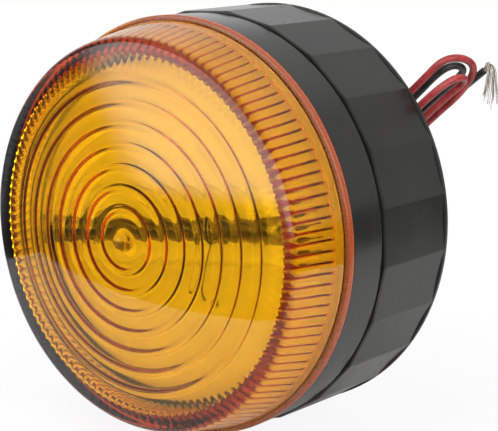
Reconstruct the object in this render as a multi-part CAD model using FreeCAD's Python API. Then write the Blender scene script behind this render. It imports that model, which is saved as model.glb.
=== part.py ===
import FreeCAD, Part
import os
from math import atan2, cos, degrees, pi, radians, sin, sqrt, tan

# A xenon barricade warning light: an amber twist-off head on a black moulded base,
# bolted down from behind and fed by two thin leads.
# Millimetres, +Z up.  The mounting face lies in the plane y = 0 and the lens looks along -Y,
# so "depth" below always means the distance in front of the mounting face (y = -depth).
V = FreeCAD.Vector
os.makedirs("parts", exist_ok=True)

# ---------------------------------------------------------------- driving dimensions
# rear cover plate
rear_rim_radius = 37.4        # round rim that shows behind the faceted base
rear_rim_thickness = 0.8
rear_plate_thickness = 2.8    # rim and spigot together
rear_rim_round = 0.25

# faceted base; its rear corners stand on the rear rim's circle
facet_count = 24
base_taper = 0.33             # the corners come in by this much from the rim to the seam
base_length = 18.05
base_wall = 2.55
shoulder_thickness = 2.25
seam_corner_cut = 0.22        # the facet corners are turned off by this much at the seam
seam_cone_length = 0.32

# front ring, and the neck that it turns on
ring_step = 0.57              # the ring stands this far inside the base's corners at the seam
ring_wall = 2.8
ring_edge_round = 0.3
ring_front_depth = 27.36
seam_gap = 0.3
neck_wall = 3.4
neck_length = 5.65

# bayonet
lug_count = 3
lug_half_angle = 6.0          # degrees
lug_reach = 1.25              # how far a lug stands in from the ring's bore
lug_thickness = 1.4
lug_setback = 2.45            # from the seam face of the ring to the lug
lug_first_angle = 30.0
unlock_turn = 20.0            # degrees from locked to the open end of the slot
stop_gap_angle = 0.6

# lens
lens_apex_depth = 42.95
lens_dome_radius = 141.1
lens_flange_thickness = 1.04
lens_flange_width = 0.8       # the flange stands out from the side wall by this much
lens_draft = 2.28             # the side wall comes in by this much from flange to face
lens_edge_round = 1.8
lens_face_thickness = 2.2
lens_mouth_wall = 3.1         # flange wall from its rim to its bore
flute_count = 120
flute_foot_wall = 2.6         # wall to the flutes' valleys at the flange end
flute_front_wall = 2.62       # and at the face end
flute_height = 0.42
flute_start = 0.5             # plain band between flange and flutes
rib_count = 7
rib_first_radius = 5.3        # crown of the innermost ring rib
rib_border = 4.5              # from the outermost rib's crown to the flutes' valleys
rib_crown = 0.86              # a rib's section: a round crown with filleted feet
rib_fillet = 1.28
rib_slope = 32.0              # steepest slope, degrees
pip_crown = 5.3               # low swelling under the middle of the face
pip_fillet = 9.6
pip_slope = 14.0
gate_crown = 2.5              # faint gate mark on the outside of the middle
gate_fillet = 4.6
gate_slope = 10.5

# clearances
fit_gap = 0.1                 # between pieces of one body that slide together at assembly
running_gap = 0.3             # between the base and the head
thread_gap = 0.02             # a screw or insert in its own hole
seal_gap = 0.05
past = 1.0                    # a cut runs this far past what it cuts
overlap = 0.1                 # shapes that are fused run this far into each other

# neck seal
seal_section = 0.6            # radius of the O-ring's section
seal_setback = 1.3            # from the shoulder to the O-ring's centre
seal_groove_side_gap = 0.05

# screws and inserts in the rear plate
cover_screw_count = 4
cover_screw_inset = 3.73      # from the base's bore to the screws
cover_screw_first_angle = 45.0
cover_screw_radius = 1.15
cover_screw_length = 11.0
cover_head_radius = 2.3
cover_head_depth = 1.3
cover_head_recess = 0.1
cover_pillar_radius = 2.0
cover_web_width = 5.0         # web that joins a pillar to the base's wall
cover_web_reach = 2.5
cover_pillar_end = 0.5        # the pillars stop this far short of the seam
mount_spacing = 50.0
insert_radius = 2.6
insert_bore = 1.65            # M4 tapping size
insert_length = 6.0
insert_groove = 0.3
insert_groove_width = 0.96
insert_boss_radius = 4.2
insert_boss_length = 4.1

# circuit board
board_gap = 1.6               # between the board's edge and the neck's bore
board_thickness = 1.6
board_pillar_length = 4.5
board_pillar_radius = 2.6
board_screw_inset = 3.9       # from the board's edge to its screws
board_screw_angles = (20.0, 140.0, 260.0)
board_screw_radius = 1.1
board_screw_length = 5.2
board_head_radius = 2.2
board_head_height = 1.5
board_head_round = 0.5
screw_tip_room = 0.5
recess_width_share = 1.1      # a cross recess, as shares of the head's radius and height
recess_slot_share = 0.26
cover_recess_share = 0.6
board_recess_start_share = 0.35

# components on the board; places are x and z
capacitor_radius = 6.25
capacitor_length = 20.0
capacitor_place = (-2.0, 16.0)
capacitor_groove = 0.35
capacitor_leg_spacing = 5.0
capacitor_leg_reach = 2.2
can_round = 0.5
can_groove_place = 2.4        # from the can's end to its rolled groove
input_capacitor_radius = 3.15
input_capacitor_height = 11.0
input_capacitor_place = (-20.0, 7.0)
input_capacitor_groove = 0.2
transformer_place = (-11.0, -8.0)
transformer_lift = 0.6
core_width = 16.0
core_depth = 5.0
core_height = 12.4
core_leg = 3.2
core_middle = 4.8             # width of the middle leg
core_parting = 0.06
bobbin_width = 5.8
bobbin_side = 0.5
bobbin_flange = 0.7
bobbin_height = 11.4
bobbin_pin = 0.8
bobbin_pin_spacing = (8.0, 10.2)
winding_height = 10.6
winding_round = 1.2
transistor_place = (14.0, 3.0)
transistor_lift = 1.5
transistor_size = (10.0, 4.4, 9.0)
transistor_chamfer = 0.4
transistor_leg = (0.9, 0.6)
transistor_pitch = 2.54
tab_thickness = 1.3
tab_height = 2.0
tab_hole_radius = 0.9
tab_hole_place = 1.2
thyristor_place = (2.5, -5.0)
thyristor_lift = 1.2
thyristor_radius = 2.4
thyristor_flat = 1.5          # from the axis to the flat
thyristor_height = 4.8
thyristor_leg = 0.45
thyristor_pitch = 1.27
leg_offset = 0.3
trigger_coil_place = (8.0, -18.4)
trigger_coil_radius = 3.5
trigger_coil_height = 9.0
coil_flange = 0.9
coil_winding_step = 0.5
coil_pin_radius = 1.2
coil_pin_height = 0.7
trigger_capacitor_place = (15.5, -8.0)
trigger_capacitor_size = (9.0, 5.0, 8.0)
trigger_capacitor_round = 0.8
resistor_places = ((-10.0, 2.2, 0), (-10.0, 6.0, 0), (0.6, 2.2, 0), (0.6, 6.0, 0))
resistor_radius = 1.15
resistor_length = 6.3
diode_places = ((-13.0, -18.5, 0), (-2.0, -17.0, 0), (22.5, -4.0, 90))
diode_radius = 1.35
diode_length = 5.0
axial_wire_radius = 0.3
axial_lift = 0.25             # the body lies this far off the board
axial_leg_reach = 1.5
axial_round_share = 0.35

# reflector plate
reflector_thickness = 1.2
trough_radius = 12.0
trough_sink = 2.2
trough_inset = 4.45           # from the plate's edge to the trough's end
clip_angles = (90.0, 210.0, 330.0)
clip_width = 6.0
clip_thickness = 1.2
clip_barb = 0.8
clip_hook_length = 1.6
cradle_length = 2.6
cradle_width = 5.4
cradle_wrap = 0.6             # the cradles reach this far past the tube's axis
wire_hole_gap = 0.3

# flash tube, lying across the reflector a little off level
tube_tilt = 5.0               # degrees, right end up
tube_stand_off = 3.5          # axis in front of the reflector face
tube_radius = 2.0
tube_bore = 1.4
tube_inset = 2.6              # from the trough's end to the glass
cap_wall = 0.25
cap_length = 3.0
cap_end = 1.0                 # solid end of the cap beyond the glass
electrode_radius = 0.8
electrode_length = 6.0
tube_wire_radius = 0.4
tube_wire_reach = 1.0         # from the cap to where the wire turns down
wire_bend_radius = 0.8
cradle_inset = 6.0            # from the end of the glass

# trigger wire
trigger_wire_radius = 0.22
trigger_wrap_places = (9.2, 10.6, 12.0)
trigger_hole_place = (6.4, -13.0)
trigger_wire_rise = 1.0
trigger_wire_bends = ((5.2, 2.6, -10.2), (6.4, 2.9, -6.2))   # x, height over the reflector, z

# leads
lead_radius = 0.66
strand_radius = 0.11          # tinned copper strand at a bared lead end
strand_count = 6
strand_circle = 0.38          # the strands stand on this circle where they leave the insulation
grommet_x = 9.0
grommet_z = 7.0
grommet_flange_radius = 4.6
grommet_flange_thickness = 1.0
grommet_neck_radius = 3.0
grommet_inner_thickness = 0.8
grommet_inner_reach = 0.9     # the inner flange stands out from the neck by this much
grommet_sink = 1.2            # outer flange lies this far inside the mounting face
nozzle_radius = 1.4
nozzle_length = 1.0
lead_spacing = 3.0            # between the two leads at the grommet
bared_length = 6.0            # straight strands of the red lead
strand_first_step = 0.5       # along the lead before the black lead's strands turn up
strand_spread = 0.5           # how far the strands fan out by their tips
strand_droop = 0.35           # each strand hangs this much lower than the one before it

# ---------------------------------------------------------------- sizes worked out
base_rear_corner = rear_rim_radius
base_front_corner = base_rear_corner - base_taper
seam_cone_radius = base_front_corner - seam_corner_cut
ring_radius = base_front_corner - ring_step
ring_bore = ring_radius - ring_wall
neck_radius = ring_bore - running_gap
neck_bore = neck_radius - neck_wall
seam_depth = rear_rim_thickness + base_length
shoulder_back = seam_depth - shoulder_thickness
neck_end = seam_depth + neck_length
ring_back = seam_depth + seam_gap
slot_floor = ring_bore - lug_reach - running_gap
grommet_inner_front = rear_plate_thickness + grommet_inner_thickness
reflector_radius = slot_floor - fit_gap
board_back = rear_plate_thickness + board_pillar_length
board_front = board_back + board_thickness
reflector_back = neck_end
reflector_front = reflector_back + reflector_thickness
tube_depth = reflector_front + tube_stand_off
flange_front = ring_front_depth + lens_flange_thickness
base_bore = base_rear_corner * cos(pi / facet_count) - base_wall
cover_screw_circle = base_bore - cover_screw_inset
board_radius = neck_bore - board_gap
board_screw_circle = board_radius - board_screw_inset
trough_half_length = reflector_radius - trough_inset
trough_back = reflector_back - trough_sink
tube_half_length = trough_half_length - tube_inset
cradle_position = tube_half_length - cradle_inset
lens_foot_radius = ring_radius - lens_flange_width
lens_front_radius = lens_foot_radius - lens_draft
lens_foot_bore = ring_radius - lens_mouth_wall
flute_foot_radius = lens_foot_radius - flute_foot_wall
flute_front_radius = lens_front_radius - flute_front_wall
rib_pitch = (flute_front_radius - rib_border - rib_first_radius) / (rib_count - 1)


# ---------------------------------------------------------------- helpers
def at(x, z, depth):
    return V(x, -depth, z)


def polar(radius, angle):
    return radius * cos(radians(angle)), radius * sin(radians(angle))


def rod(x, z, radius, back, front):
    """Cylinder along the lamp's axis direction, between two depths."""
    return Part.makeCylinder(radius, front - back, at(x, z, back), V(0, -1, 0))


def block(x, z, width, height, back, front):
    """Box centred on x, z, between two depths."""
    return Part.makeBox(width, front - back, height, at(x - width / 2, z - height / 2, front))


def turn(shape, angle, x=0.0, z=0.0):
    """Turn anticlockwise as seen from the front, about an axis through x, z."""
    turned = shape.copy()
    turned.rotate(V(x, 0, z), V(0, -1, 0), angle)
    return turned


def revolve(points):
    """Solid of revolution about the lamp's axis from (radius, depth) points."""
    outline = Part.makePolygon([V(r, -d, 0) for r, d in points + points[:1]])
    return Part.Face(outline).revolve(V(0, 0, 0), V(0, 1, 0), 360)


def revolve_edges(edges):
    return Part.Face(Part.Wire(edges)).revolve(V(0, 0, 0), V(0, 1, 0), 360)


def tube(outer, inner, back, front):
    return rod(0, 0, outer, back, front).cut(rod(0, 0, inner, back - past, front + past))


def fuse(shapes):
    joined = shapes[0]
    if len(shapes) > 1:
        joined = joined.fuse(shapes[1:])
    return joined.removeSplitter()


def sector(inner, outer, start, sweep, back, front):
    """Part of a ring between two angles."""
    corners = []
    for radius, angle in ((inner, start), (inner, start + sweep), (outer, start + sweep), (outer, start)):
        x, z = polar(radius, angle)
        corners.append(at(x, z, back))
    mid_in = at(*polar(inner, start + sweep / 2), back)
    mid_out = at(*polar(outer, start + sweep / 2), back)
    edges = [
        Part.Arc(corners[0], mid_in, corners[1]).toShape(),
        Part.LineSegment(corners[1], corners[2]).toShape(),
        Part.Arc(corners[2], mid_out, corners[3]).toShape(),
        Part.LineSegment(corners[3], corners[0]).toShape(),
    ]
    return Part.Face(Part.Wire(edges)).extrude(V(0, back - front, 0))


def route_wire(points, radius_share=0.45):
    """Straight runs joined by tangent arcs.  Returns the wire, its length and its arc radii."""
    runs = [(b - a).Length for a, b in zip(points, points[1:])]
    edges, radii, start = [], [], points[0]
    for i in range(1, len(points) - 1):
        before = (points[i - 1] - points[i]).normalize()
        after = (points[i + 1] - points[i]).normalize()
        turn_angle = pi - before.getAngle(after)
        reach = radius_share * min(runs[i - 1], runs[i])
        radius = reach / tan(turn_angle / 2)
        arc_start, arc_end = points[i] + before * reach, points[i] + after * reach
        inward = (before + after).normalize()
        middle = points[i] + inward * (radius / cos(turn_angle / 2) - radius)
        edges.append(Part.LineSegment(start, arc_start).toShape())
        edges.append(Part.Arc(arc_start, middle, arc_end).toShape())
        radii.append(radius)
        start = arc_end
    edges.append(Part.LineSegment(start, points[-1]).toShape())
    wire = Part.Wire(edges)
    return wire, wire.Length, radii


def sweep_round(points, radius):
    wire, length, radii = route_wire(points)
    along = (points[1] - points[0]).normalize()
    section = Part.Wire(Part.makeCircle(radius, points[0], along))
    solid = wire.makePipeShell([section], True, False)
    return solid, length, radii


def save(name, shape):
    shape.exportStep("parts/" + name + ".step")


# ---------------------------------------------------------------- rear plate and what it holds
def cover_screw_places():
    step = 360.0 / cover_screw_count
    return [polar(cover_screw_circle, cover_screw_first_angle + step * i) for i in range(cover_screw_count)]


def board_screw_places():
    return [polar(board_screw_circle, angle) for angle in board_screw_angles]


def insert_places():
    return [(-mount_spacing / 2, 0.0), (mount_spacing / 2, 0.0)]


def rear_plate():
    rim = rod(0, 0, rear_rim_radius, 0, rear_rim_thickness)
    rim = rim.makeFillet(rear_rim_round, [e for e in rim.Edges if abs(e.CenterOfMass.y) < 0.01 and e.Closed])
    pieces = [rim, rod(0, 0, base_bore - fit_gap, rear_rim_thickness / 2, rear_plate_thickness)]
    for x, z in board_screw_places():
        pieces.append(rod(x, z, board_pillar_radius, rear_plate_thickness, board_back))
    for x, z in insert_places():
        boss_end = rear_plate_thickness + insert_boss_length
        pieces.append(rod(x, z, insert_boss_radius, rear_plate_thickness, boss_end))
    plate = fuse(pieces)
    holes = []
    for x, z in cover_screw_places():
        holes.append(rod(x, z, cover_screw_radius + fit_gap, -past, rear_plate_thickness + past))
        holes.append(Part.makeCone(cover_head_radius + fit_gap, cover_screw_radius + fit_gap,
                                   cover_head_depth, at(x, z, cover_head_recess), V(0, -1, 0)))
        holes.append(rod(x, z, cover_head_radius + fit_gap, -past, cover_head_recess))
    for x, z in board_screw_places():
        tip = board_front - board_screw_length - screw_tip_room
        holes.append(rod(x, z, board_screw_radius + thread_gap, tip, board_back + past))
    for x, z in insert_places():
        holes.append(rod(x, z, insert_radius + thread_gap, -past, insert_length))
    flange_seat = grommet_sink + grommet_flange_thickness
    holes.append(rod(grommet_x, grommet_z, grommet_flange_radius + seal_gap, -past, flange_seat))
    holes.append(rod(grommet_x, grommet_z, grommet_neck_radius + seal_gap,
                     -past, rear_plate_thickness + past))
    return plate.cut(holes)


def cross_recess(x, z, head_radius, back, front):
    size = head_radius * recess_width_share
    slot = block(x, z, size, size * recess_slot_share, back, front)
    return slot.fuse(turn(slot, 90, x, z))


def cover_screws():
    screws = []
    for x, z in cover_screw_places():
        head_front = cover_head_recess + cover_head_depth
        head = Part.makeCone(cover_head_radius, cover_screw_radius, cover_head_depth,
                             at(x, z, cover_head_recess), V(0, -1, 0))
        shank = rod(x, z, cover_screw_radius, head_front - overlap, cover_head_recess + cover_screw_length)
        recess_end = cover_head_recess + cover_head_depth * cover_recess_share
        recess = cross_recess(x, z, cover_head_radius, -past, recess_end)
        screws.append(fuse([head, shank]).cut(recess))
    return Part.makeCompound(screws)


def threaded_inserts():
    inserts = []
    for x, z in insert_places():
        outer = rod(x, z, insert_radius, 0, insert_length)
        ring_cut = rod(x, z, insert_radius + past, (insert_length - insert_groove_width) / 2,
                       (insert_length + insert_groove_width) / 2)
        ring_cut = ring_cut.cut(rod(x, z, insert_radius - insert_groove, 0, insert_length))
        inserts.append(outer.cut([ring_cut, rod(x, z, insert_bore, -past, insert_length + past)]))
    return Part.makeCompound(inserts)


def lead_places():
    return {
        "red": (grommet_x, grommet_z + lead_spacing / 2),
        "black": (grommet_x, grommet_z - lead_spacing / 2),
    }


def cable_grommet():
    outer_back, outer_front = grommet_sink, grommet_sink + grommet_flange_thickness
    pieces = [
        rod(grommet_x, grommet_z, grommet_flange_radius, outer_back, outer_front),
        rod(grommet_x, grommet_z, grommet_neck_radius, outer_back, grommet_inner_front),
        rod(grommet_x, grommet_z, grommet_neck_radius + grommet_inner_reach,
            rear_plate_thickness, grommet_inner_front),
    ]
    for x, z in lead_places().values():
        pieces.append(rod(x, z, nozzle_radius, outer_back - nozzle_length, outer_back + overlap))
    grommet = fuse(pieces)
    holes = [rod(x, z, lead_radius + seal_gap, -past, outer_back) for x, z in lead_places().values()]
    return grommet.cut(holes)


def inner_lead(colour):
    x, z = lead_places()[colour]
    return rod(x, z, lead_radius, grommet_inner_front, board_back)


# ---------------------------------------------------------------- base housing
def facet_ring(corner_radius, depth):
    step = 360.0 / facet_count
    corners = [at(*polar(corner_radius, step * (i + 0.5)), depth) for i in range(facet_count)]
    return Part.makePolygon(corners + corners[:1])


def faceted_body():
    body = Part.makeLoft([facet_ring(base_rear_corner, rear_rim_thickness),
                          facet_ring(base_front_corner, seam_depth)], True, True)
    corner = base_rear_corner + past
    cone = revolve([(0, rear_rim_thickness - past), (corner, rear_rim_thickness - past),
                    (corner, seam_depth - seam_cone_length * (corner - seam_cone_radius)
                     / (base_front_corner - seam_cone_radius)),
                    (seam_cone_radius, seam_depth), (0, seam_depth)])
    return body.common(cone)


def bayonet_slots():
    """Entry mouth and locking track for each lug, cut into the outside of the neck."""
    track_back = ring_back + lug_setback - running_gap
    track_front = track_back + lug_thickness + 2 * running_gap
    slots = []
    for i in range(lug_count):
        lug = lug_first_angle + 360.0 / lug_count * i
        start = lug - lug_half_angle - stop_gap_angle
        sweep = unlock_turn + 2 * (lug_half_angle + stop_gap_angle)
        mouth = lug + unlock_turn - lug_half_angle - stop_gap_angle
        slots.append(sector(slot_floor, neck_radius + past, start, sweep, track_back, track_front))
        slots.append(sector(slot_floor, neck_radius + past, mouth, 2 * (lug_half_angle + stop_gap_angle),
                            track_back, neck_end + past))
    return slots


def base_housing():
    pillars = []
    pillar_back, pillar_front = rear_plate_thickness + fit_gap, seam_depth - cover_pillar_end
    for x, z in cover_screw_places():
        pillar = rod(x, z, cover_pillar_radius, pillar_back, pillar_front)
        web = block(cover_screw_circle + cover_web_reach, 0, cover_web_width, cover_pillar_radius,
                    pillar_back, pillar_front)
        pillars.append(pillar.fuse(turn(web, degrees(atan2(z, x)))))
    shell = faceted_body().fuse(rod(0, 0, neck_radius, seam_depth - past, neck_end))
    shell = shell.cut([rod(0, 0, base_bore, 0, shoulder_back), rod(0, 0, neck_bore, 0, neck_end + past)])
    housing = fuse([shell] + pillars)
    groove_back = seam_depth + seal_setback - seal_section - seal_groove_side_gap
    groove_front = seam_depth + seal_setback + seal_section + seal_groove_side_gap
    groove_floor = ring_bore - seal_gap - 2 * seal_section
    cuts = [tube(neck_radius + past, groove_floor, groove_back, groove_front)] + bayonet_slots()
    screw_end = cover_head_recess + cover_screw_length + screw_tip_room
    for x, z in cover_screw_places():
        cuts.append(rod(x, z, cover_screw_radius + thread_gap, 0, screw_end))
    return housing.cut(cuts)


def neck_seal():
    centre_radius = ring_bore - seal_gap - seal_section
    return Part.makeTorus(centre_radius, seal_section, at(0, 0, seam_depth + seal_setback), V(0, 1, 0))


# ---------------------------------------------------------------- head: front ring and lens
def front_ring():
    body = tube(ring_radius, ring_bore, ring_back, ring_front_depth)
    rim_edges = [e for e in body.Edges if e.Closed and abs(e.Curve.Radius - ring_radius) < 0.01]
    body = body.makeFillet(ring_edge_round, rim_edges)
    lug_back = ring_back + lug_setback
    lugs = []
    for i in range(lug_count):
        start = lug_first_angle + 360.0 / lug_count * i - lug_half_angle
        lugs.append(sector(ring_bore - lug_reach, ring_bore + overlap, start, 2 * lug_half_angle,
                           lug_back, lug_back + lug_thickness))
    return fuse([body] + lugs)


def dome_depth(radius, apex, dome_radius):
    return apex - dome_radius + sqrt(dome_radius ** 2 - radius ** 2)


def half_ridge(crown, fillet, slope):
    """Offsets and heights that draw one side of a ridge: its foot, fillet, steepest place and top."""
    angle = radians(slope)
    reach, height = (crown + fillet) * sin(angle), (crown + fillet) * (1 - cos(angle))
    return [
        (reach, 0.0),
        (reach - fillet * sin(angle / 2), fillet * (1 - cos(angle / 2))),
        (crown * sin(angle), height - crown * (1 - cos(angle))),
        (0.0, height),
    ]


def crown_arc(steep, top):
    """Arc from a ridge's steepest place to its top on the lamp's axis, square to the axis there."""
    rise = top.y - steep.y
    radius = (rise ** 2 + steep.x ** 2) / (2 * rise)
    angle = atan2(steep.x, abs(radius - rise)) / 2
    middle = V(abs(radius) * sin(angle), top.y - radius * (1 - cos(angle)), 0)
    return Part.Arc(steep, middle, top).toShape()


def lens_blank():
    """The outside of the lens, filled in, with the gate mark in the middle of its face."""
    def on_face(radius, lift=0.0):
        return V(radius, -(dome_depth(radius, lens_apex_depth, lens_dome_radius) + lift), 0)

    corner_depth = dome_depth(lens_front_radius, lens_apex_depth, lens_dome_radius)
    foot, fillet, steep, top = [on_face(*place) for place in half_ridge(gate_crown, gate_fillet, gate_slope)]
    points = [
        V(0, -ring_front_depth, 0),
        V(ring_radius, -ring_front_depth, 0),
        V(ring_radius, -flange_front, 0),
        V(lens_foot_radius, -flange_front, 0),
        V(lens_front_radius, -corner_depth, 0),
    ]
    edges = [Part.LineSegment(a, b).toShape() for a, b in zip(points, points[1:])]
    edges.append(Part.Arc(points[-1], on_face(lens_front_radius / 2), foot).toShape())
    edges.append(Part.Arc(foot, fillet, steep).toShape())
    edges.append(crown_arc(steep, top))
    edges.append(Part.LineSegment(top, points[0]).toShape())
    blank = revolve_edges(edges)
    front_edge = [e for e in blank.Edges if e.Closed and abs(e.CenterOfMass.y + corner_depth) < 0.01]
    rim_edge = [e for e in blank.Edges if e.Closed and abs(e.CenterOfMass.y + flange_front) < 0.01
                and e.BoundBox.XMax > ring_radius - 0.01]
    blank = blank.makeFillet(lens_edge_round, front_edge)
    return blank.makeFillet(ring_edge_round, [e for e in blank.Edges if any(e.CenterOfMass.isEqual(
        r.CenterOfMass, 0.001) and abs(e.Length - r.Length) < 0.01 for r in rim_edge)])


def fluted_outline(valley_radius, depth):
    """Closed ring of round-backed flutes: each arc bulges in towards the axis."""
    pitch = 360.0 / flute_count
    edges = []
    for i in range(flute_count):
        a = at(*polar(valley_radius, pitch * i), depth)
        b = at(*polar(valley_radius - flute_height, pitch * (i + 0.5)), depth)
        c = at(*polar(valley_radius, pitch * (i + 1)), depth)
        edges.append(Part.Arc(a, b, c).toShape())
    return Part.Wire(edges)


def face_inside():
    """Everything behind the inside of the lens face, with its centre pip and ring ribs."""
    apex = lens_apex_depth - lens_face_thickness
    dome = lens_dome_radius - lens_face_thickness

    def on_dome(radius, lift=0.0):
        return V(radius, -(dome_depth(radius, apex, dome) - lift), 0)

    def arc(*places):
        return Part.Arc(*[on_dome(*place) for place in places]).toShape()

    foot, fillet, steep, top = half_ridge(pip_crown, pip_fillet, pip_slope)
    edges = [crown_arc(on_dome(*steep), on_dome(*top)), arc(steep, fillet, foot)]
    rib = half_ridge(rib_crown, rib_fillet, rib_slope)
    for i in range(rib_count):
        middle = rib_first_radius + rib_pitch * i
        inner = [(middle - offset, lift) for offset, lift in rib]
        outer = [(middle + offset, lift) for offset, lift in rib]
        edges.append(arc(foot, ((foot[0] + inner[0][0]) / 2, 0.0), inner[0]))
        edges.append(arc(inner[0], inner[1], inner[2]))
        edges.append(arc(inner[2], inner[3], outer[2]))
        edges.append(arc(outer[2], outer[1], outer[0]))
        foot = outer[0]
    edges.append(arc(foot, ((foot[0] + lens_foot_radius) / 2, 0.0), (lens_foot_radius, 0.0)))
    back_out, back_in = V(lens_foot_radius, -flange_front, 0), V(0, -flange_front, 0)
    edges.append(Part.LineSegment(on_dome(lens_foot_radius), back_out).toShape())
    edges.append(Part.LineSegment(back_out, back_in).toShape())
    edges.append(Part.LineSegment(back_in, on_dome(*top)).toShape())
    return revolve_edges(edges)


def lens():
    flutes_back = flange_front + flute_start
    flutes_front = lens_apex_depth
    foot, front = flute_foot_radius, flute_front_radius
    border = dome_depth(front, lens_apex_depth - lens_face_thickness, lens_dome_radius - lens_face_thickness)
    taper = (foot - front) / (border - flutes_back)
    far_valley = foot - taper * (flutes_front - flutes_back)
    core = Part.makeLoft([fluted_outline(foot, flutes_back), fluted_outline(far_valley, flutes_front)],
                         True, True)
    core = core.common(face_inside())
    mouth = rod(0, 0, lens_foot_bore, ring_front_depth - past, flutes_back)
    return lens_blank().cut(core.fuse(mouth))


# ---------------------------------------------------------------- reflector and flash tube
def along_tube(offset, depth, across=0.0):
    """Point at an offset along the tilted tube and across it."""
    tilt = radians(tube_tilt)
    return at(offset * cos(tilt) - across * sin(tilt), offset * sin(tilt) + across * cos(tilt), depth)


def tube_direction():
    tilt = radians(tube_tilt)
    return V(cos(tilt), 0, sin(tilt))


def tube_rod(radius, start, end, depth):
    return Part.makeCylinder(radius, end - start, along_tube(start, depth), tube_direction())


def reflector_plate():
    axis_depth = reflector_front + trough_radius - trough_sink
    wall_radius = trough_radius + reflector_thickness
    half = trough_half_length
    shell = tube_rod(wall_radius, -half, half, axis_depth)
    shell = shell.common(rod(0, 0, reflector_radius, reflector_back - wall_radius, reflector_back + overlap))
    plate = fuse([rod(0, 0, reflector_radius, reflector_back, reflector_front), shell])
    inside = half - reflector_thickness
    plate = plate.cut(tube_rod(trough_radius, -inside, inside, axis_depth))
    pieces = [plate]
    trough_floor = axis_depth - trough_radius
    for place in (-cradle_position, cradle_position):
        centre = along_tube(place, 0)
        post = block(centre.x, centre.z, cradle_length, cradle_width, trough_floor - overlap,
                     tube_depth + cradle_wrap)
        pieces.append(turn(post, tube_tilt, centre.x, centre.z))
    for angle in clip_angles:
        pieces.append(turn(clip_leg(), angle))
    plate = fuse(pieces)
    holes = [tube_rod(tube_radius + seal_gap, -half, half, tube_depth)]
    for side in (-1, 1):
        wire_place = along_tube(side * tube_wire_place(), 0)
        holes.append(rod(wire_place.x, wire_place.z, tube_wire_radius + wire_hole_gap,
                         trough_back - past, reflector_front + past))
    hole = trigger_route()[0]
    holes.append(rod(hole.x, hole.z, trigger_wire_radius + wire_hole_gap,
                     trough_back - past, reflector_front + past))
    return plate.cut(holes)


def clip_leg():
    """Snap leg on the +X side: it hangs inside the neck and hooks behind the shoulder."""
    outer = neck_bore - fit_gap
    hook_back, hook_front = shoulder_back - clip_hook_length, shoulder_back - seal_gap
    inside = outer - clip_thickness / 2
    side = -clip_width / 2
    leg = block(inside, 0, clip_thickness, clip_width, hook_back, reflector_back + overlap)
    profile = Part.makePolygon([
        at(inside, side, hook_back),
        at(outer, side, hook_back),
        at(outer + clip_barb, side, hook_front),
        at(inside, side, hook_front),
        at(inside, side, hook_back),
    ])
    hook = Part.Face(profile).extrude(V(0, 0, clip_width))
    rounded = rod(0, 0, outer + clip_barb, hook_back, hook_front + past)
    leg_inside = rod(0, 0, outer, hook_back, reflector_back + past)
    return leg.common(leg_inside).fuse(hook.common(rounded))


def flash_tube():
    glass = tube_rod(tube_radius, -tube_half_length, tube_half_length, tube_depth)
    return glass.cut(tube_rod(tube_bore, -tube_half_length - past, tube_half_length + past, tube_depth))


def cap_span():
    inner = tube_half_length - cap_length + cap_end
    return inner, tube_half_length + cap_end


def tube_end_caps():
    caps = []
    start, end = cap_span()
    for side in (-1, 1):
        a, b = sorted((side * start, side * end))
        cap = tube_rod(tube_radius + seal_gap + cap_wall, a, b, tube_depth)
        a, b = sorted((side * (start - past), side * tube_half_length))
        caps.append(cap.cut(tube_rod(tube_radius + thread_gap, a, b, tube_depth)))
    return Part.makeCompound(caps)


def tube_electrodes():
    rods = []
    for side in (-1, 1):
        a, b = sorted((side * (tube_half_length - electrode_length), side * tube_half_length))
        rods.append(tube_rod(electrode_radius, a, b, tube_depth))
    return Part.makeCompound(rods)


def tube_wire_place():
    """Where the end wires go down through the reflector, from the middle of the tube."""
    return cap_span()[1] + tube_wire_reach


def bent_leg(start, corner, end, radius):
    """Round wire with one square bend."""
    to_start, to_end = (start - corner).normalize(), (end - corner).normalize()
    first = corner + to_start * wire_bend_radius
    second = corner + to_end * wire_bend_radius
    middle = corner + (to_start + to_end).normalize() * (wire_bend_radius * (sqrt(2) - 1))
    wire = Part.Wire([
        Part.LineSegment(start, first).toShape(),
        Part.Arc(first, middle, second).toShape(),
        Part.LineSegment(second, end).toShape(),
    ])
    section = Part.Wire(Part.makeCircle(radius, start, corner - start))
    return wire.makePipeShell([section], True, False)


def tube_lead_wires():
    wires = []
    for side in (-1, 1):
        start = along_tube(side * cap_span()[1], tube_depth)
        corner = along_tube(side * tube_wire_place(), tube_depth)
        end = along_tube(side * tube_wire_place(), board_back)
        wires.append(bent_leg(start, corner, end, tube_wire_radius))
    return Part.makeCompound(wires)


def trigger_route():
    """From the board, up through the reflector, over to the flash tube's glass."""
    wrap = along_tube(trigger_wrap_places[0], tube_depth, -tube_radius - trigger_wire_radius * 2)
    x, z = trigger_hole_place
    bends = [at(bend_x, bend_z, reflector_front + height) for bend_x, height, bend_z in trigger_wire_bends]
    return [at(x, z, board_front), at(x, z, reflector_front + trigger_wire_rise)] + bends + [wrap]


def trigger_wire():
    pieces = [sweep_round(trigger_route(), trigger_wire_radius)[0]]
    for place in trigger_wrap_places:
        pieces.append(Part.makeTorus(tube_radius + trigger_wire_radius + thread_gap, trigger_wire_radius,
                                     along_tube(place, tube_depth), tube_direction()))
    return Part.makeCompound(pieces)


# ---------------------------------------------------------------- circuit board and components

def circuit_board():
    board = rod(0, 0, board_radius, board_back, board_front)
    holes = [rod(x, z, board_screw_radius + fit_gap, 0, board_front + past) for x, z in board_screw_places()]
    for side in (-1, 1):
        place = along_tube(side * tube_wire_place(), 0)
        holes.append(rod(place.x, place.z, tube_wire_radius + fit_gap, 0, board_front + past))
    return board.cut(holes)


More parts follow.
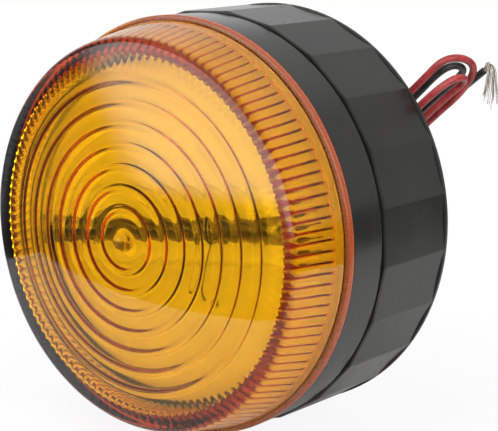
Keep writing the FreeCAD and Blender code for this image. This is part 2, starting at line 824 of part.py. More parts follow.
def board_screws():
    screws = []
    head_front = board_front + board_head_height
    for x, z in board_screw_places():
        shank = rod(x, z, board_screw_radius, board_front - board_screw_length, board_front + overlap)
        head = rod(x, z, board_head_radius, board_front, head_front)
        top = [e for e in head.Edges if e.Closed and abs(e.CenterOfMass.y + head_front) < 0.01]
        head = head.makeFillet(board_head_round, top)
        recess = cross_recess(x, z, board_head_radius,
                              board_front + board_head_height * board_recess_start_share, head_front + past)
        screws.append(fuse([shank, head]).cut(recess))
    return Part.makeCompound(screws)


def can(radius, length, groove):
    """Capacitor can along +X from the origin, with its rolled groove and rounded ends."""
    body = Part.makeCylinder(radius, length, V(0, 0, 0), V(1, 0, 0))
    body = body.makeFillet(can_round, [e for e in body.Edges if e.Closed])
    cut_ring = Part.makeTorus(radius + groove, groove * 2, V(can_groove_place, 0, 0), V(1, 0, 0))
    return body.cut(cut_ring)


def main_capacitor():
    x, z = capacitor_place
    end_x = x - capacitor_length / 2
    axis_depth = board_front + capacitor_radius
    body = can(capacitor_radius, capacitor_length, capacitor_groove)
    body.translate(at(end_x, z, axis_depth))
    legs = []
    for side in (-1, 1):
        leg_z = z + side * capacitor_leg_spacing / 2
        corner_x = end_x - capacitor_leg_reach
        legs.append(bent_leg(at(end_x + overlap, leg_z, axis_depth), at(corner_x, leg_z, axis_depth),
                             at(corner_x, leg_z, board_front), axial_wire_radius))
    return fuse([body] + legs)


def input_capacitor():
    x, z = input_capacitor_place
    body = can(input_capacitor_radius, input_capacitor_height, input_capacitor_groove)
    body.rotate(V(0, 0, 0), V(0, 0, 1), -90)
    body.translate(at(x, z, board_front))
    return body


def transformer_span(inset=0.0):
    """Depths between which the core lies, or its windows."""
    back = board_front + transformer_lift
    return back + inset, back + core_height - inset


def transformer_core():
    """Two E-shaped ferrite halves, meeting half way up the bobbin."""
    x, z = transformer_place
    back, front = transformer_span()
    middle = (back + front) / 2
    whole = block(x, z, core_width, core_depth, back, front)
    window_width = (core_width - core_middle) / 2 - core_leg
    window_place = (core_middle + window_width) / 2
    window_back, window_front = transformer_span(core_leg)
    windows = [block(x + side * window_place, z, window_width, core_depth + past, window_back, window_front)
               for side in (-1, 1)]
    core = whole.cut(windows)
    width, height = core_width + past, core_depth + past
    lower = core.common(block(x, z, width, height, back - past, middle - core_parting / 2))
    upper = core.common(block(x, z, width, height, middle + core_parting / 2, front + past))
    return Part.makeCompound([lower, upper])


def transformer_bobbin():
    x, z = transformer_place
    back, front = transformer_span(core_leg + fit_gap)
    width = core_width - 2 * (core_leg + fit_gap)
    pieces = [block(x, z, width, bobbin_height, back, back + bobbin_flange),
              block(x, z, width, bobbin_height, front - bobbin_flange, front),
              block(x, z, bobbin_width, core_depth + 2 * bobbin_side, back, front)]
    pin_x, pin_z = bobbin_pin_spacing
    for side_x in (-1, 1):
        for side_z in (-1, 1):
            pieces.append(block(x + side_x * pin_x / 2, z + side_z * pin_z / 2, bobbin_pin, bobbin_pin,
                                board_front, back + overlap))
    hole = block(x, z, core_middle + 2 * fit_gap, core_depth + fit_gap, back - past, front + past)
    return fuse(pieces).cut(hole)


def transformer_winding():
    x, z = transformer_place
    back, front = transformer_span(core_leg + fit_gap + bobbin_flange + seal_gap)
    outer = block(x, z, core_width - 2 * core_leg - 4 * fit_gap, winding_height, back, front)
    upright = [e for e in outer.Edges if abs(e.tangentAt(e.FirstParameter).y) > 0.9]
    outer = outer.makeFillet(winding_round, upright)
    inner = block(x, z, bobbin_width + 2 * seal_gap, core_depth + 2 * (bobbin_side + seal_gap),
                  back - past, front + past)
    return outer.cut(inner)


def power_transistor():
    x, z = transistor_place
    width, thickness, height = transistor_size
    lift = board_front + transistor_lift
    top = lift + height
    body = block(x, z, width, thickness, lift, top)
    front_edges = [e for e in body.Edges if e.CenterOfMass.z > z + thickness / 2 - overlap]
    body = body.makeChamfer(transistor_chamfer, front_edges)
    tab = block(x, z - (thickness - tab_thickness) / 2, width, tab_thickness, top, top + tab_height)
    hole_start = at(x, z - thickness, top + tab_hole_place)
    tab = tab.cut(Part.makeCylinder(tab_hole_radius, 2 * thickness, hole_start, V(0, 0, 1)))
    leg_width, leg_depth = transistor_leg
    legs = [block(x + side * transistor_pitch, z + leg_offset, leg_width, leg_depth,
                  board_front, lift + overlap) for side in (-1, 0, 1)]
    return fuse([body, tab] + legs)


def thyristor():
    x, z = thyristor_place
    lift = board_front + thyristor_lift
    top = lift + thyristor_height
    beyond_flat = block(x, z - thyristor_flat - thyristor_radius / 2, thyristor_radius * 3, thyristor_radius,
                        lift - past, top + past)
    body = rod(x, z, thyristor_radius, lift, top).cut(beyond_flat)
    legs = [block(x + side * thyristor_pitch, z + leg_offset, thyristor_leg, thyristor_leg,
                  board_front, lift + overlap) for side in (-1, 0, 1)]
    return fuse([body] + legs)


def trigger_coil():
    x, z = trigger_coil_place
    top = board_front + trigger_coil_height
    lower, upper = board_front + coil_flange, top - coil_flange
    return fuse([
        rod(x, z, trigger_coil_radius, board_front, lower),
        rod(x, z, trigger_coil_radius - coil_winding_step, lower, upper),
        rod(x, z, trigger_coil_radius, upper, top),
        rod(x, z, coil_pin_radius, top - overlap, top + coil_pin_height),
    ])


def trigger_capacitor():
    x, z = trigger_capacitor_place
    width, thickness, height = trigger_capacitor_size
    body = block(x, z, width, thickness, board_front, board_front + height)
    return body.makeFillet(trigger_capacitor_round, body.Edges)


def axial_part(x, z, angle, radius, length):
    """Resistor or diode lying on the board, with its bent wires."""
    axis_depth = board_front + radius + axial_lift
    body = Part.makeCylinder(radius, length, at(x - length / 2, z, axis_depth), V(1, 0, 0))
    body = body.makeFillet(radius * axial_round_share, [e for e in body.Edges if e.Closed])
    pieces = [body]
    for side in (-1, 1):
        start = at(x + side * (length / 2 - overlap), z, axis_depth)
        corner = at(x + side * (length / 2 + axial_leg_reach), z, axis_depth)
        pieces.append(bent_leg(start, corner, at(corner.x, z, board_front), axial_wire_radius))
    return turn(fuse(pieces), angle, x, z)


def resistors():
    return Part.makeCompound([axial_part(x, z, angle, resistor_radius, resistor_length)
                              for x, z, angle in resistor_places])


def diodes():
    return Part.makeCompound([axial_part(x, z, angle, diode_radius, diode_length)
                              for x, z, angle in diode_places])


# ---------------------------------------------------------------- leads
# Each lead leaves its nozzle straight back, then lies folded in a loose hank behind the rear plate.
# The points after the first are chosen by hand (x, y, z).
lead_routes = {
    "red": [
        (9.0, 2.0, 8.5), (11.1, 4.6, 10.2), (15.9, 5.6, 14.0), (22.9, 6.0, 18.6), (28.6, 6.3, 23.6),
        (32.5, 6.1, 27.1), (34.8, 8.0, 27.6), (35.9, 10.8, 26.5), (35.0, 13.0, 24.3), (31.7, 13.6, 20.5),
        (26.8, 13.8, 16.7), (19.6, 14.0, 10.6), (13.2, 14.3, 5.8), (8.1, 14.0, 3.1), (6.0, 11.1, 0.9),
        (6.3, 6.9, 0.3), (8.9, 4.0, 1.9), (13.9, 3.8, 5.7), (20.4, 3.9, 11.8), (26.7, 4.2, 17.1),
        (31.9, 4.2, 21.5), (34.7, 4.6, 23.5), (35.8, 5.9, 24.2), (36.1, 7.9, 24.0), (35.1, 9.2, 23.1),
        (32.4, 9.5, 21.1), (27.8, 9.1, 17.3), (23.5, 8.9, 13.2), (19.3, 8.4, 10.0),
    ],
    "black": [
        (9.0, 2.2, 5.5), (11.4, 5.2, 6.9), (16.4, 7.0, 11.2), (22.3, 7.9, 17.2), (27.2, 8.2, 21.7),
        (29.7, 8.2, 24.0), (32.3, 7.9, 25.7), (33.6, 9.1, 26.1), (34.2, 10.6, 25.5), (33.4, 11.6, 24.3),
        (30.6, 11.9, 22.3), (26.1, 11.6, 18.4), (17.5, 10.8, 11.3), (8.2, 9.8, 6.7), (1.1, 9.2, 2.9),
        (-5.7, 8.7, 1.1), (-7.6, 10.9, -1.9), (-6.6, 13.9, -4.3), (-3.0, 16.1, -5.0), (3.0, 16.5, -2.8),
        (10.8, 16.2, 3.4), (18.6, 16.2, 10.1), (25.9, 15.8, 17.3), (31.1, 15.6, 21.3), (35.8, 15.2, 24.7),
    ],
}
strand_bends = [(0.5, 0.2, 1.1), (0.8, 0.3, -0.2), (0.25, 0.1, -1.5), (0.0, 0.0, -1.9), (-0.1, 0.0, -2.0)]


def lead_route(colour):
    x, z = lead_places()[colour]
    return [at(x, z, grommet_sink)] + [V(*point) for point in lead_routes[colour]]


def lead(colour):
    solid, length, radii = sweep_round(lead_route(colour), lead_radius)
    share = solid.Volume / (pi * lead_radius ** 2 * length)
    print("lead", colour, "length", round(length, 1), "volume share", round(share, 4))
    print("  arc radii", [round(radius, 1) for radius in radii])
    return solid


def lead_end(colour):
    """End point of a lead, its direction there and two directions across it."""
    last, end = lead_route(colour)[-2:]
    along = (end - last).normalize()
    side = along.cross(V(0, 1, 0)).normalize()
    return end, along, side, along.cross(side)


def strand_starts(colour):
    end, along, side, up = lead_end(colour)
    starts = []
    for i in range(strand_count):
        angle = 2 * pi * i / strand_count
        starts.append((end + side * (strand_circle * cos(angle)) + up * (strand_circle * sin(angle)),
                       side * cos(angle) + up * sin(angle)))
    return along, starts


def frayed_strands(colour):
    """Loose strands that spring up out of the insulation and hang over."""
    along, starts = strand_starts(colour)
    wires = []
    for i, (start, outward) in enumerate(starts):
        points = [start, start + along * strand_first_step]
        for k, bend in enumerate(strand_bends):
            step = V(*bend) + outward * (strand_spread * (k + 1) / len(strand_bends))
            if k == len(strand_bends) - 1:
                step = step + V(0, 0, -strand_droop * i)
            points.append(points[-1] + step)
        wires.append(sweep_round(points, strand_radius)[0])
    return Part.makeCompound(wires)


def straight_strands(colour):
    along, starts = strand_starts(colour)
    return Part.makeCompound([Part.makeCylinder(strand_radius, bared_length, start, along)
                              for start, _ in starts])


# ---------------------------------------------------------------- write the parts
save("rear_plate", rear_plate())
save("cover_screws", cover_screws())
save("threaded_inserts", threaded_inserts())
save("cable_grommet", cable_grommet())
save("inner_lead_red", inner_lead("red"))
save("inner_lead_black", inner_lead("black"))
save("base_housing", base_housing())
save("neck_seal", neck_seal())
save("front_ring", front_ring())
save("lens", lens())
save("reflector_plate", reflector_plate())
save("flash_tube", flash_tube())
save("tube_end_caps", tube_end_caps())
save("tube_electrodes", tube_electrodes())
save("tube_lead_wires", tube_lead_wires())
save("trigger_wire", trigger_wire())
save("circuit_board", circuit_board())
save("board_screws", board_screws())
save("main_capacitor", main_capacitor())
save("input_capacitor", input_capacitor())
save("transformer_core", transformer_core())
save("transformer_bobbin", transformer_bobbin())
save("transformer_winding", transformer_winding())
save("power_transistor", power_transistor())
save("thyristor", thyristor())
save("trigger_coil", trigger_coil())
save("trigger_capacitor", trigger_capacitor())
save("resistors", resistors())
save("diodes", diodes())
save("lead_red", lead("red"))
save("lead_black", lead("black"))
save("red_lead_strands", straight_strands("red"))
save("black_lead_strands", frayed_strands("black"))
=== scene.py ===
import math
import random

import bmesh
import bpy
from mathutils import Matrix, Vector


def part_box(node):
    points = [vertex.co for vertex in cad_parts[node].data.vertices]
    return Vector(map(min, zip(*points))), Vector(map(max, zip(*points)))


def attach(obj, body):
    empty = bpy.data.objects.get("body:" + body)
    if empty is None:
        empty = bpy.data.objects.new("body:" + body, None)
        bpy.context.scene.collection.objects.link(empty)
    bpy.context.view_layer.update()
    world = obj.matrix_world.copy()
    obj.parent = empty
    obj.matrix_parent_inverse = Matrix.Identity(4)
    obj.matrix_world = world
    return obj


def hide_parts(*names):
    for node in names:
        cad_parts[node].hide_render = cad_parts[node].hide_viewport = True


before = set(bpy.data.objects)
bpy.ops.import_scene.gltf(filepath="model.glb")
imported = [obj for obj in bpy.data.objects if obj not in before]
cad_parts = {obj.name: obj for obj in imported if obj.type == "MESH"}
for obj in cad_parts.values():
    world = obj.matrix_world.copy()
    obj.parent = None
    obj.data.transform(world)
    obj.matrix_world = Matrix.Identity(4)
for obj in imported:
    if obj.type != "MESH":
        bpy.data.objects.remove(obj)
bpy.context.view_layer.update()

# ------------------------------------------------------------------ camera
# The lamp stands on its rim and is seen from its front right and a little above, with a long lens.
# Lengths are in metres everywhere; mm turns a size in millimetres into one.
mm = 0.001
camera_azimuth = math.radians(38.71)
camera_elevation = math.radians(10.09)
camera_roll = math.radians(-1.60)
camera_place = (0.162724, -0.211136, 0.045296)
camera_sensor_width = 36.0
camera_focal_length = 103.99518


def add_object(name, data):
    """A new object in the scene."""
    piece = bpy.data.objects.new(name, data)
    bpy.context.collection.objects.link(piece)
    return piece


camera_back = Vector((math.sin(camera_azimuth) * math.cos(camera_elevation),
                      -math.cos(camera_azimuth) * math.cos(camera_elevation),
                      math.sin(camera_elevation)))
level_right = Vector((math.cos(camera_azimuth), math.sin(camera_azimuth), 0.0))
level_up = camera_back.cross(level_right)
camera_right = level_right * math.cos(camera_roll) + level_up * math.sin(camera_roll)
camera_up = level_up * math.cos(camera_roll) - level_right * math.sin(camera_roll)
camera = add_object("camera", bpy.data.cameras.new("camera"))
turned = Matrix((camera_right, camera_up, camera_back)).transposed().to_4x4()
camera.matrix_world = Matrix.Translation(camera_place) @ turned
camera.data.sensor_width = camera_sensor_width
camera.data.lens = camera_focal_length
camera.data.clip_start = 0.01
bpy.context.scene.camera = camera

# ------------------------------------------------------------------ base
# The black ABS base has 24 flat facets that taper slightly to the seam, where their corners are
# turned off like a nut's. A round neck with an O-ring groove and three bayonet tracks carries
# the head, and four pillars inside take the rear cover's screws.
base_facets = 24
base_rear_corner = 37.4
base_taper_corner = 37.09
base_front_corner = 37.07
base_rear = 0.8
base_taper_end = 18.0
base_seam = 18.85
facet_corner_round = 0.9
corner_steps = 3
facet_columns = 2 * corner_steps + 1
seam_chamfer_radius = 36.85
seam_chamfer_depth = 0.32
base_wall = 2.55
base_bore = base_rear_corner * math.cos(math.pi / base_facets) - base_wall
shoulder_back = 16.6
neck_radius = 33.4
neck_bore = 30.0
neck_end = 24.5
groove_floor = 32.45
groove_back, groove_front = 19.5, 20.8
track_count = 3
track_floor = 32.15
# Start and sweep of a track in degrees, and its back and front depths.
track_run = (23.4, 33.2, 21.3, 23.3)
track_mouth = (43.4, 13.2, 23.2, 25.5)
pillar_count = 4
pillar_circle = 30.8
pillar_radius = 2.0
pillar_back, pillar_front = 2.9, 17.6
screw_hole_radius = 1.17
screw_hole_back, screw_hole_front = 1.0, 11.6


class Signal:
    """One value in a node tree. Plain sums on it add Math nodes, and node() adds any other node."""

    def __init__(self, tree, socket=None):
        self.tree = tree
        self.socket = socket

    def node(self, kind, settings=None, inputs=None, output=0):
        """A node of this kind with its settings and sockets filled; gives one of its outputs."""
        made = self.tree.nodes.new(kind)
        for name, value in (settings or {}).items():
            setattr(made, name, value)
        for name, value in (inputs or {}).items():
            if isinstance(value, Signal):
                self.tree.links.new(value.socket, made.inputs[name])
            else:
                made.inputs[name].default_value = value
        return Signal(self.tree, made.outputs[output])

    def math(self, operation, *others):
        """A Math node on this value and any others."""
        return self.node("ShaderNodeMath", {"operation": operation},
                         dict(enumerate((self, *others))))

    def parts(self):
        """The x, y and z of a vector."""
        split = self.node("ShaderNodeSeparateXYZ", {}, {0: self}).socket.node
        return [Signal(self.tree, socket) for socket in split.outputs]

    def __add__(self, other):
        return self.math("ADD", other)

    def __sub__(self, other):
        return self.math("SUBTRACT", other)

    def __rsub__(self, other):
        return self.node("ShaderNodeMath", {"operation": "SUBTRACT"}, {0: other, 1: self})

    def __mul__(self, other):
        return self.math("MULTIPLY", other)

    def __truediv__(self, other):
        return self.math("DIVIDE", other)

    def __rtruediv__(self, other):
        return self.node("ShaderNodeMath", {"operation": "DIVIDE"}, {0: other, 1: self})

    __rmul__ = __mul__


def new_finish(name, **constants):
    """A material, its Principled shader with these constants, and a Signal to start nodes from."""
    material = bpy.data.materials.new(name)
    material.use_nodes = True
    shader = material.node_tree.nodes["Principled BSDF"]
    for socket, value in constants.items():
        shader.inputs[socket.replace("_", " ")].default_value = value
    return material, shader, Signal(material.node_tree)


def connect(signal, node, socket):
    """Links a signal to a node's socket."""
    signal.tree.links.new(signal.socket, node.inputs[socket])


def grain(start, size, detail=2.0, stretch=(1.0, 1.0, 1.0)):
    """Soft noise from 0 to 1 whose lumps are about this long, in metres."""
    place = start.node("ShaderNodeTexCoord", output="Object")
    place = start.node("ShaderNodeMapping", {"vector_type": "TEXTURE"},
                       {"Vector": place, "Scale": stretch})
    return start.node("ShaderNodeTexNoise", {},
                      {"Vector": place, "Scale": 1.0 / size, "Detail": detail})


def spread(signal, low, high, at_low=0.0, at_high=1.0):
    """Maps low..high of a signal smoothly onto at_low..at_high."""
    return signal.node("ShaderNodeMapRange", {"interpolation_type": "SMOOTHSTEP"},
                       {0: signal, 1: low, 2: high, 3: at_low, 4: at_high})


def blend_colours(factor, first, second):
    """Goes from the first colour to the second as the factor goes from 0 to 1."""
    first, second = [(*colour, 1.0) if isinstance(colour, tuple) else colour
                     for colour in (first, second)]
    return factor.node("ShaderNodeMix", {"data_type": "RGBA"},
                       {0: factor, 6: first, 7: second}, output=2)


def bump(height, distance, strength=1.0):
    """A shading normal from a height of 0 to 1 that stands for this distance."""
    return height.node("ShaderNodeBump", {},
                       {"Height": height, "Distance": distance, "Strength": strength})


def black_plastic_finish(name, shine, tone):
    """Black ABS from a polished mould: faint flow clouding, fine dust and handling scuffs."""
    material, shader, start = new_finish(name, IOR=1.53)
    flow = grain(start, 14 * mm, 3.0)
    dust = grain(start, 0.35 * mm, 4.0)
    scuffs = grain(start, 1.6 * mm, 5.0, (1.0, 1.0, 9.0))
    dull = spread(scuffs, 0.60, 0.72, 0.0, 0.10)
    colour = blend_colours(spread(flow, 0.3, 0.7), (tone, tone, tone * 0.85),
                           (tone * 1.7, tone * 1.7, tone * 1.45))
    specks = spread(dust, 0.70, 0.80, 0.0, 0.35)
    connect(blend_colours(specks, colour, (0.10, 0.10, 0.095)), shader, "Base Color")
    connect(spread(flow, 0.3, 0.7, shine, shine + 0.07) + dull + specks * 0.2, shader, "Roughness")
    connect(bump(grain(start, 0.9 * mm, 2.0), 0.012 * mm, 0.6), shader, "Normal")
    return material


def line_points(start, end, steps):
    """Points after start up to end."""
    return [(start[0] + (end[0] - start[0]) * i / steps, start[1] + (end[1] - start[1]) * i / steps)
            for i in range(1, steps + 1)]


def node_tree(name, inputs):
    """An empty Geometry Nodes tree with these named inputs, as Signals, and its output node."""
    tree = bpy.data.node_groups.new(name, "GeometryNodeTree")
    tree.interface.new_socket("Geometry", in_out="INPUT", socket_type="NodeSocketGeometry")
    for label, value in inputs.items():
        kind = "NodeSocketInt" if isinstance(value, int) else "NodeSocketFloat"
        tree.interface.new_socket(label, in_out="INPUT", socket_type=kind)
    tree.interface.new_socket("Geometry", in_out="OUTPUT", socket_type="NodeSocketGeometry")
    entry = tree.nodes.new("NodeGroupInput")
    signals = {socket.name: Signal(tree, socket) for socket in entry.outputs if socket.name}
    return tree, signals, tree.nodes.new("NodeGroupOutput")


def off_axis(radius, angle, depth):
    """The place at this radius and angle round the lamp's axis, this far in front of its back."""
    return radius.node("ShaderNodeCombineXYZ", {}, {0: radius * angle.math("COSINE"),
                                                    1: depth * -1.0,
                                                    2: radius * angle.math("SINE")})


def turned_grid(signals, angle_rule, radius_rule):
    """Turns the section, given as a line of points, about the lamp's axis. A column of the grid is
    one angle. A row is one point of the section, with its marks read from the section's mesh."""
    begin = signals["Geometry"]
    rows = begin.node("GeometryNodeAttributeDomainSize", {"component": "MESH"}, {0: begin})
    grid = begin.node("GeometryNodeMeshGrid", {},
                      {"Vertices X": signals["Columns"] + 1, "Vertices Y": rows})
    index = begin.node("GeometryNodeInputIndex")
    column = ((index + 0.5) / rows).math("FLOOR")
    row = index - column * rows

    def at_row(mark, kind="FLOAT"):
        return begin.node("GeometryNodeSampleIndex", {"data_type": kind},
                          {0: begin, 1: mark, "Index": row})

    def mark(name):
        return at_row(begin.node("GeometryNodeInputNamedAttribute", {"data_type": "FLOAT"},
                                 {"Name": name}))

    radius, _, depth = at_row(begin.node("GeometryNodeInputPosition"), "FLOAT_VECTOR").parts()
    where = off_axis(radius_rule(radius, column, mark, signals), angle_rule(column, signals), depth)
    shaped = begin.node("GeometryNodeSetPosition", {}, {"Geometry": grid, "Position": where})
    return begin.node("GeometryNodeMergeByDistance", {},
                      {"Geometry": shaped, "Distance": 0.0004 * mm})


def finish_tree(exit_node, geometry, material):
    """Every tree ends in Realize Instances and Set Material."""
    real = geometry.node("GeometryNodeRealizeInstances", {}, {"Geometry": geometry})
    painted = real.node("GeometryNodeSetMaterial", {}, {"Geometry": real, "Material": material})
    connect(painted, exit_node, "Geometry")


def section_object(name, points, marks):
    """A line of points in the plane of the axis, (radius, depth) in millimetres, with marks."""
    mesh = bpy.data.meshes.new(name)
    mesh.from_pydata([(radius * mm, 0.0, depth * mm) for radius, depth in points],
                     [(i, i + 1) for i in range(len(points) - 1)], [])
    for label, values in marks.items():
        mesh.attributes.new(label, "FLOAT", "POINT").data.foreach_set("value", values)
    return add_object(name, mesh)


def plain_mesh(piece):
    """The piece's shape, with its curves and modifiers worked out, as a plain mesh."""
    return bpy.data.meshes.new_from_object(
        piece.evaluated_get(bpy.context.evaluated_depsgraph_get()))


def make_plain(piece, tree, inputs, sharp_angle):
    """Runs the tree on the piece and keeps its result as a plain mesh with outward faces."""
    modifier = piece.modifiers.new("shape", "NODES")
    modifier.node_group = tree
    for socket in tree.interface.items_tree:
        if socket.in_out == "INPUT" and socket.name in inputs:
            modifier[socket.identifier] = inputs[socket.name]
    shape = plain_mesh(piece)
    piece.modifiers.remove(modifier)
    shape.name = piece.name
    shell = bmesh.new()
    shell.from_mesh(shape)
    bmesh.ops.recalc_face_normals(shell, faces=shell.faces)
    shell.to_mesh(shape)
    shell.free()
    piece.data = shape
    shape.polygons.foreach_set("use_smooth", [True] * len(shape.polygons))
    shape.set_sharp_from_angle(angle=math.radians(sharp_angle))


def facet_station(column):
    """A column's facet, its place past that facet's corner, and its steps from the nearest one:
    each facet has one column on its corner and three close beside it on each side."""
    facet = (column / facet_columns + 0.001).math("FLOOR")
    station = column - facet * facet_columns
    return facet, station, station.math("MINIMUM", facet_columns - station)


def facet_angle(column, signals):
    """The angle of a column of the faceted wall."""
    facet, station, beside = facet_station(column)
    past = station.math("GREATER_THAN", facet_columns / 2)
    whole = 2 * math.pi / signals["Facets"]
    fraction = beside * signals["Corner step"] * (1.0 - 2.0 * past) + past * whole
    return (facet + 0.5) * whole + fraction


def facet_radius(radius, column, mark, signals):
    """Flat between the corners, a small round on them, and the turned-off seam edge over both."""
    _, _, beside = facet_station(column)
    half = math.pi / signals["Facets"]
    off_corner = beside * signals["Corner step"]
    flat = radius * half.math("COSINE") / (half - off_corner).math("COSINE")
    corner_round = signals["Corner round"]
    centre = radius - corner_round / half.math("COSINE")
    rise = centre * off_corner.math("SINE")
    rounded = centre * off_corner.math("COSINE")
    rounded = rounded + (corner_round * corner_round - rise * rise).math("SQRT")
    on_corner = beside.math("LESS_THAN", corner_steps - 0.5)
    faceted = flat + (rounded - flat) * on_corner
    shaped = radius + (faceted - radius) * mark("facet")
    return shaped.math("MINIMUM", mark("cap"))


def rod(begin, x, radius, back, front):
    """A cylinder along the lamp's axis between two depths, in millimetres."""
    cylinder = begin.node("GeometryNodeMeshCylinder", {},
                          {"Vertices": 28, "Radius": radius * mm, "Depth": (front - back) * mm})
    return begin.node("GeometryNodeTransform", {}, {
        "Geometry": cylinder, "Translation": (x * mm, -(front + back) / 2 * mm, 0.0),
        "Rotation": (math.pi / 2, 0.0, 0.0)})


def around_axis(begin, shape, count, first):
    """Copies of a shape turned evenly about the lamp's axis, the first by this many degrees."""
    marks = begin.node("GeometryNodePoints", {}, {"Count": count})
    turn = begin.node("GeometryNodeInputIndex") * (360.0 / count) + first
    spin = begin.node("ShaderNodeCombineXYZ", {}, {1: turn * (-math.pi / 180)})
    copies = begin.node("GeometryNodeInstanceOnPoints", {},
                        {"Points": marks, "Instance": shape, "Rotation": spin})
    return begin.node("GeometryNodeRealizeInstances", {}, {"Geometry": copies})


def track_cutter(begin, start, sweep, back, front):
    """A curved block that cuts a bayonet track: a subdivided box bent about the lamp's axis. Its
    start and sweep are in degrees, and its back and front are depths in millimetres."""
    box = begin.node("GeometryNodeMeshCube", {}, {"Size": (1.0, 1.0, 1.0), "Vertices X": 24,
                                                  "Vertices Y": 2, "Vertices Z": 2})
    x, y, z = begin.node("GeometryNodeInputPosition").parts()
    angle = (x + 0.5) * math.radians(sweep) + math.radians(start)
    radius = (z + 0.5) * ((neck_radius + 1.0 - track_floor) * mm) + track_floor * mm
    depth = (y + 0.5) * ((front - back) * mm) + back * mm
    where = off_axis(radius, angle, depth)
    return begin.node("GeometryNodeSetPosition", {}, {"Geometry": box, "Position": where})


def join(begin, *shapes):
    """Several shapes as one."""
    joined = begin.node("GeometryNodeJoinGeometry")
    for shape in shapes:
        connect(shape, joined.socket.node, "Geometry")
    return joined


def cut(shape, cutter):
    """A shape with another cut out of it."""
    return shape.node("GeometryNodeMeshBoolean", {"operation": "DIFFERENCE"},
                      {"Mesh 1": shape, "Mesh 2": cutter})


base_plastic = black_plastic_finish("base_plastic", shine=0.2, tone=0.006)
chamfer_start = base_seam - seam_chamfer_depth - 0.05
wall = [(base_rear_corner, base_rear)]
wall += line_points(wall[-1], (base_taper_corner, base_taper_end), 4)
wall += line_points(wall[-1], (base_front_corner, chamfer_start), 1)
wall += line_points(wall[-1], (base_front_corner, base_seam), 12)
cover = [(seam_chamfer_radius, base_seam), (neck_radius, base_seam), (neck_radius, groove_back),
         (groove_floor, groove_back), (groove_floor, groove_front), (neck_radius, groove_front),
         (neck_radius, neck_end), (neck_bore, neck_end), (neck_bore, shoulder_back),
         (base_bore, shoulder_back), (base_bore, base_rear), (base_rear_corner, base_rear)]
base_section = wall + cover
faceted = [1.0] * len(wall) + [0.0] * (len(cover) - 1) + [1.0]
cone_slope = (base_front_corner - seam_chamfer_radius) / seam_chamfer_depth
caps = [1.0 if depth < chamfer_start - 0.01 or radius < seam_chamfer_radius + 0.001
        else (seam_chamfer_radius + cone_slope * (base_seam - depth)) * mm
        for radius, depth in base_section]
base = section_object("faceted_base", base_section, {"facet": faceted, "cap": caps})
corner_turn = facet_corner_round * math.sin(math.pi / base_facets) / base_rear_corner
base_sizes = {"Columns": base_facets * facet_columns, "Facets": base_facets,
              "Corner step": corner_turn / (corner_steps - 1),
              "Corner round": facet_corner_round * mm}
tree, signals, exit_node = node_tree("faceted_base", base_sizes)
begin = signals["Geometry"]
tracks = join(begin, *(track_cutter(begin, *track) for track in (track_run, track_mouth)))
shell = cut(turned_grid(signals, facet_angle, facet_radius),
            around_axis(begin, tracks, track_count, first=0.0))
pillar = cut(rod(begin, pillar_circle, pillar_radius, pillar_back, pillar_front),
             rod(begin, pillar_circle, screw_hole_radius, screw_hole_back, screw_hole_front))
pillars = around_axis(begin, pillar, pillar_count, first=45.0)
finish_tree(exit_node, join(begin, shell, pillars), base_plastic)
make_plain(base, tree, base_sizes, sharp_angle=14.0)
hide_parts("base_housing")
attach(base, "base")

# ------------------------------------------------------------------ reflector
# A white ABS plate with a sunk trough behind the tube, snapped into the neck by three legs. It
# throws the flash forwards and hides the board.
trough_lip = 25.6
trough_inside = 25.0


def paint(material, *nodes):
    """Gives whole pieces of the frame this material."""
    for node in nodes:
        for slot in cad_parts[node].material_slots:
            slot.material = material


def reflector_finish():
    """White ABS loaded with titanium dioxide: satin, with faint yellowing and moulding haze, and
    painted lighter down in the trough: a painted light that lifts the trough's shaded walls."""
    material, shader, start = new_finish("white_reflector", IOR=1.5)
    haze = grain(start, 6 * mm, 3.0)
    along = start.node("ShaderNodeTexCoord", output="Object").parts()[1]
    # Painted light: the trough is painted near white so that its shaded walls look lit.
    trough = spread(along, -trough_lip * mm, -trough_inside * mm)
    plate = blend_colours(spread(haze, 0.3, 0.7), (0.75, 0.75, 0.73), (0.70, 0.69, 0.66))
    connect(blend_colours(trough, plate, (0.96, 0.96, 0.94)), shader, "Base Color")
    connect(spread(haze, 0.3, 0.7, 0.25, 0.4), shader, "Roughness")
    connect(bump(grain(start, 1.2 * mm, 2.0), 0.02 * mm, 0.3), shader, "Normal")
    return material


paint(reflector_finish(), "reflector_plate")

# ------------------------------------------------------------------ flash tube and its wires
# A straight xenon tube of hard glass with nickel end caps lies across the trough in two cradles.
# Its lead wires and a fine trigger wire, wound three turns round the glass, go down to the board.


def glass_finish():
    """Hard glass with a thin brown-grey conductive coating, patchy where the trigger has fired."""
    material, shader, start = new_finish("flash_glass", IOR=1.48, Transmission_Weight=1.0)
    coating = spread(grain(start, 1.4 * mm, 3.0), 0.35, 0.65)
    connect(blend_colours(coating, (0.14, 0.12, 0.09), (0.42, 0.38, 0.3)), shader, "Base Color")
    connect(spread(grain(start, 3 * mm, 2.0), 0.4, 0.8, 0.0, 0.08), shader, "Roughness")
    return material


def nickel_finish():
    """Dull nickel plate, browned by the heat of the tube."""
    material, shader, start = new_finish("nickel", Metallic=1.0)
    dullness = grain(start, 0.9 * mm, 3.0)
    connect(blend_colours(spread(dullness, 0.35, 0.7), (0.34, 0.32, 0.29), (0.20, 0.18, 0.16)),
            shader, "Base Color")
    connect(spread(dullness, 0.3, 0.7, 0.2, 0.45), shader, "Roughness")
    return material


paint(glass_finish(), "flash_tube")
paint(nickel_finish(), "tube_end_caps", "tube_electrodes", "tube_lead_wires", "trigger_wire")

# ------------------------------------------------------------------ circuit board and components
# A round glass-epoxy board on three pillars carries the flash circuit: a small converter
# transformer charges the main capacitor, and a thyristor fires the trigger coil.


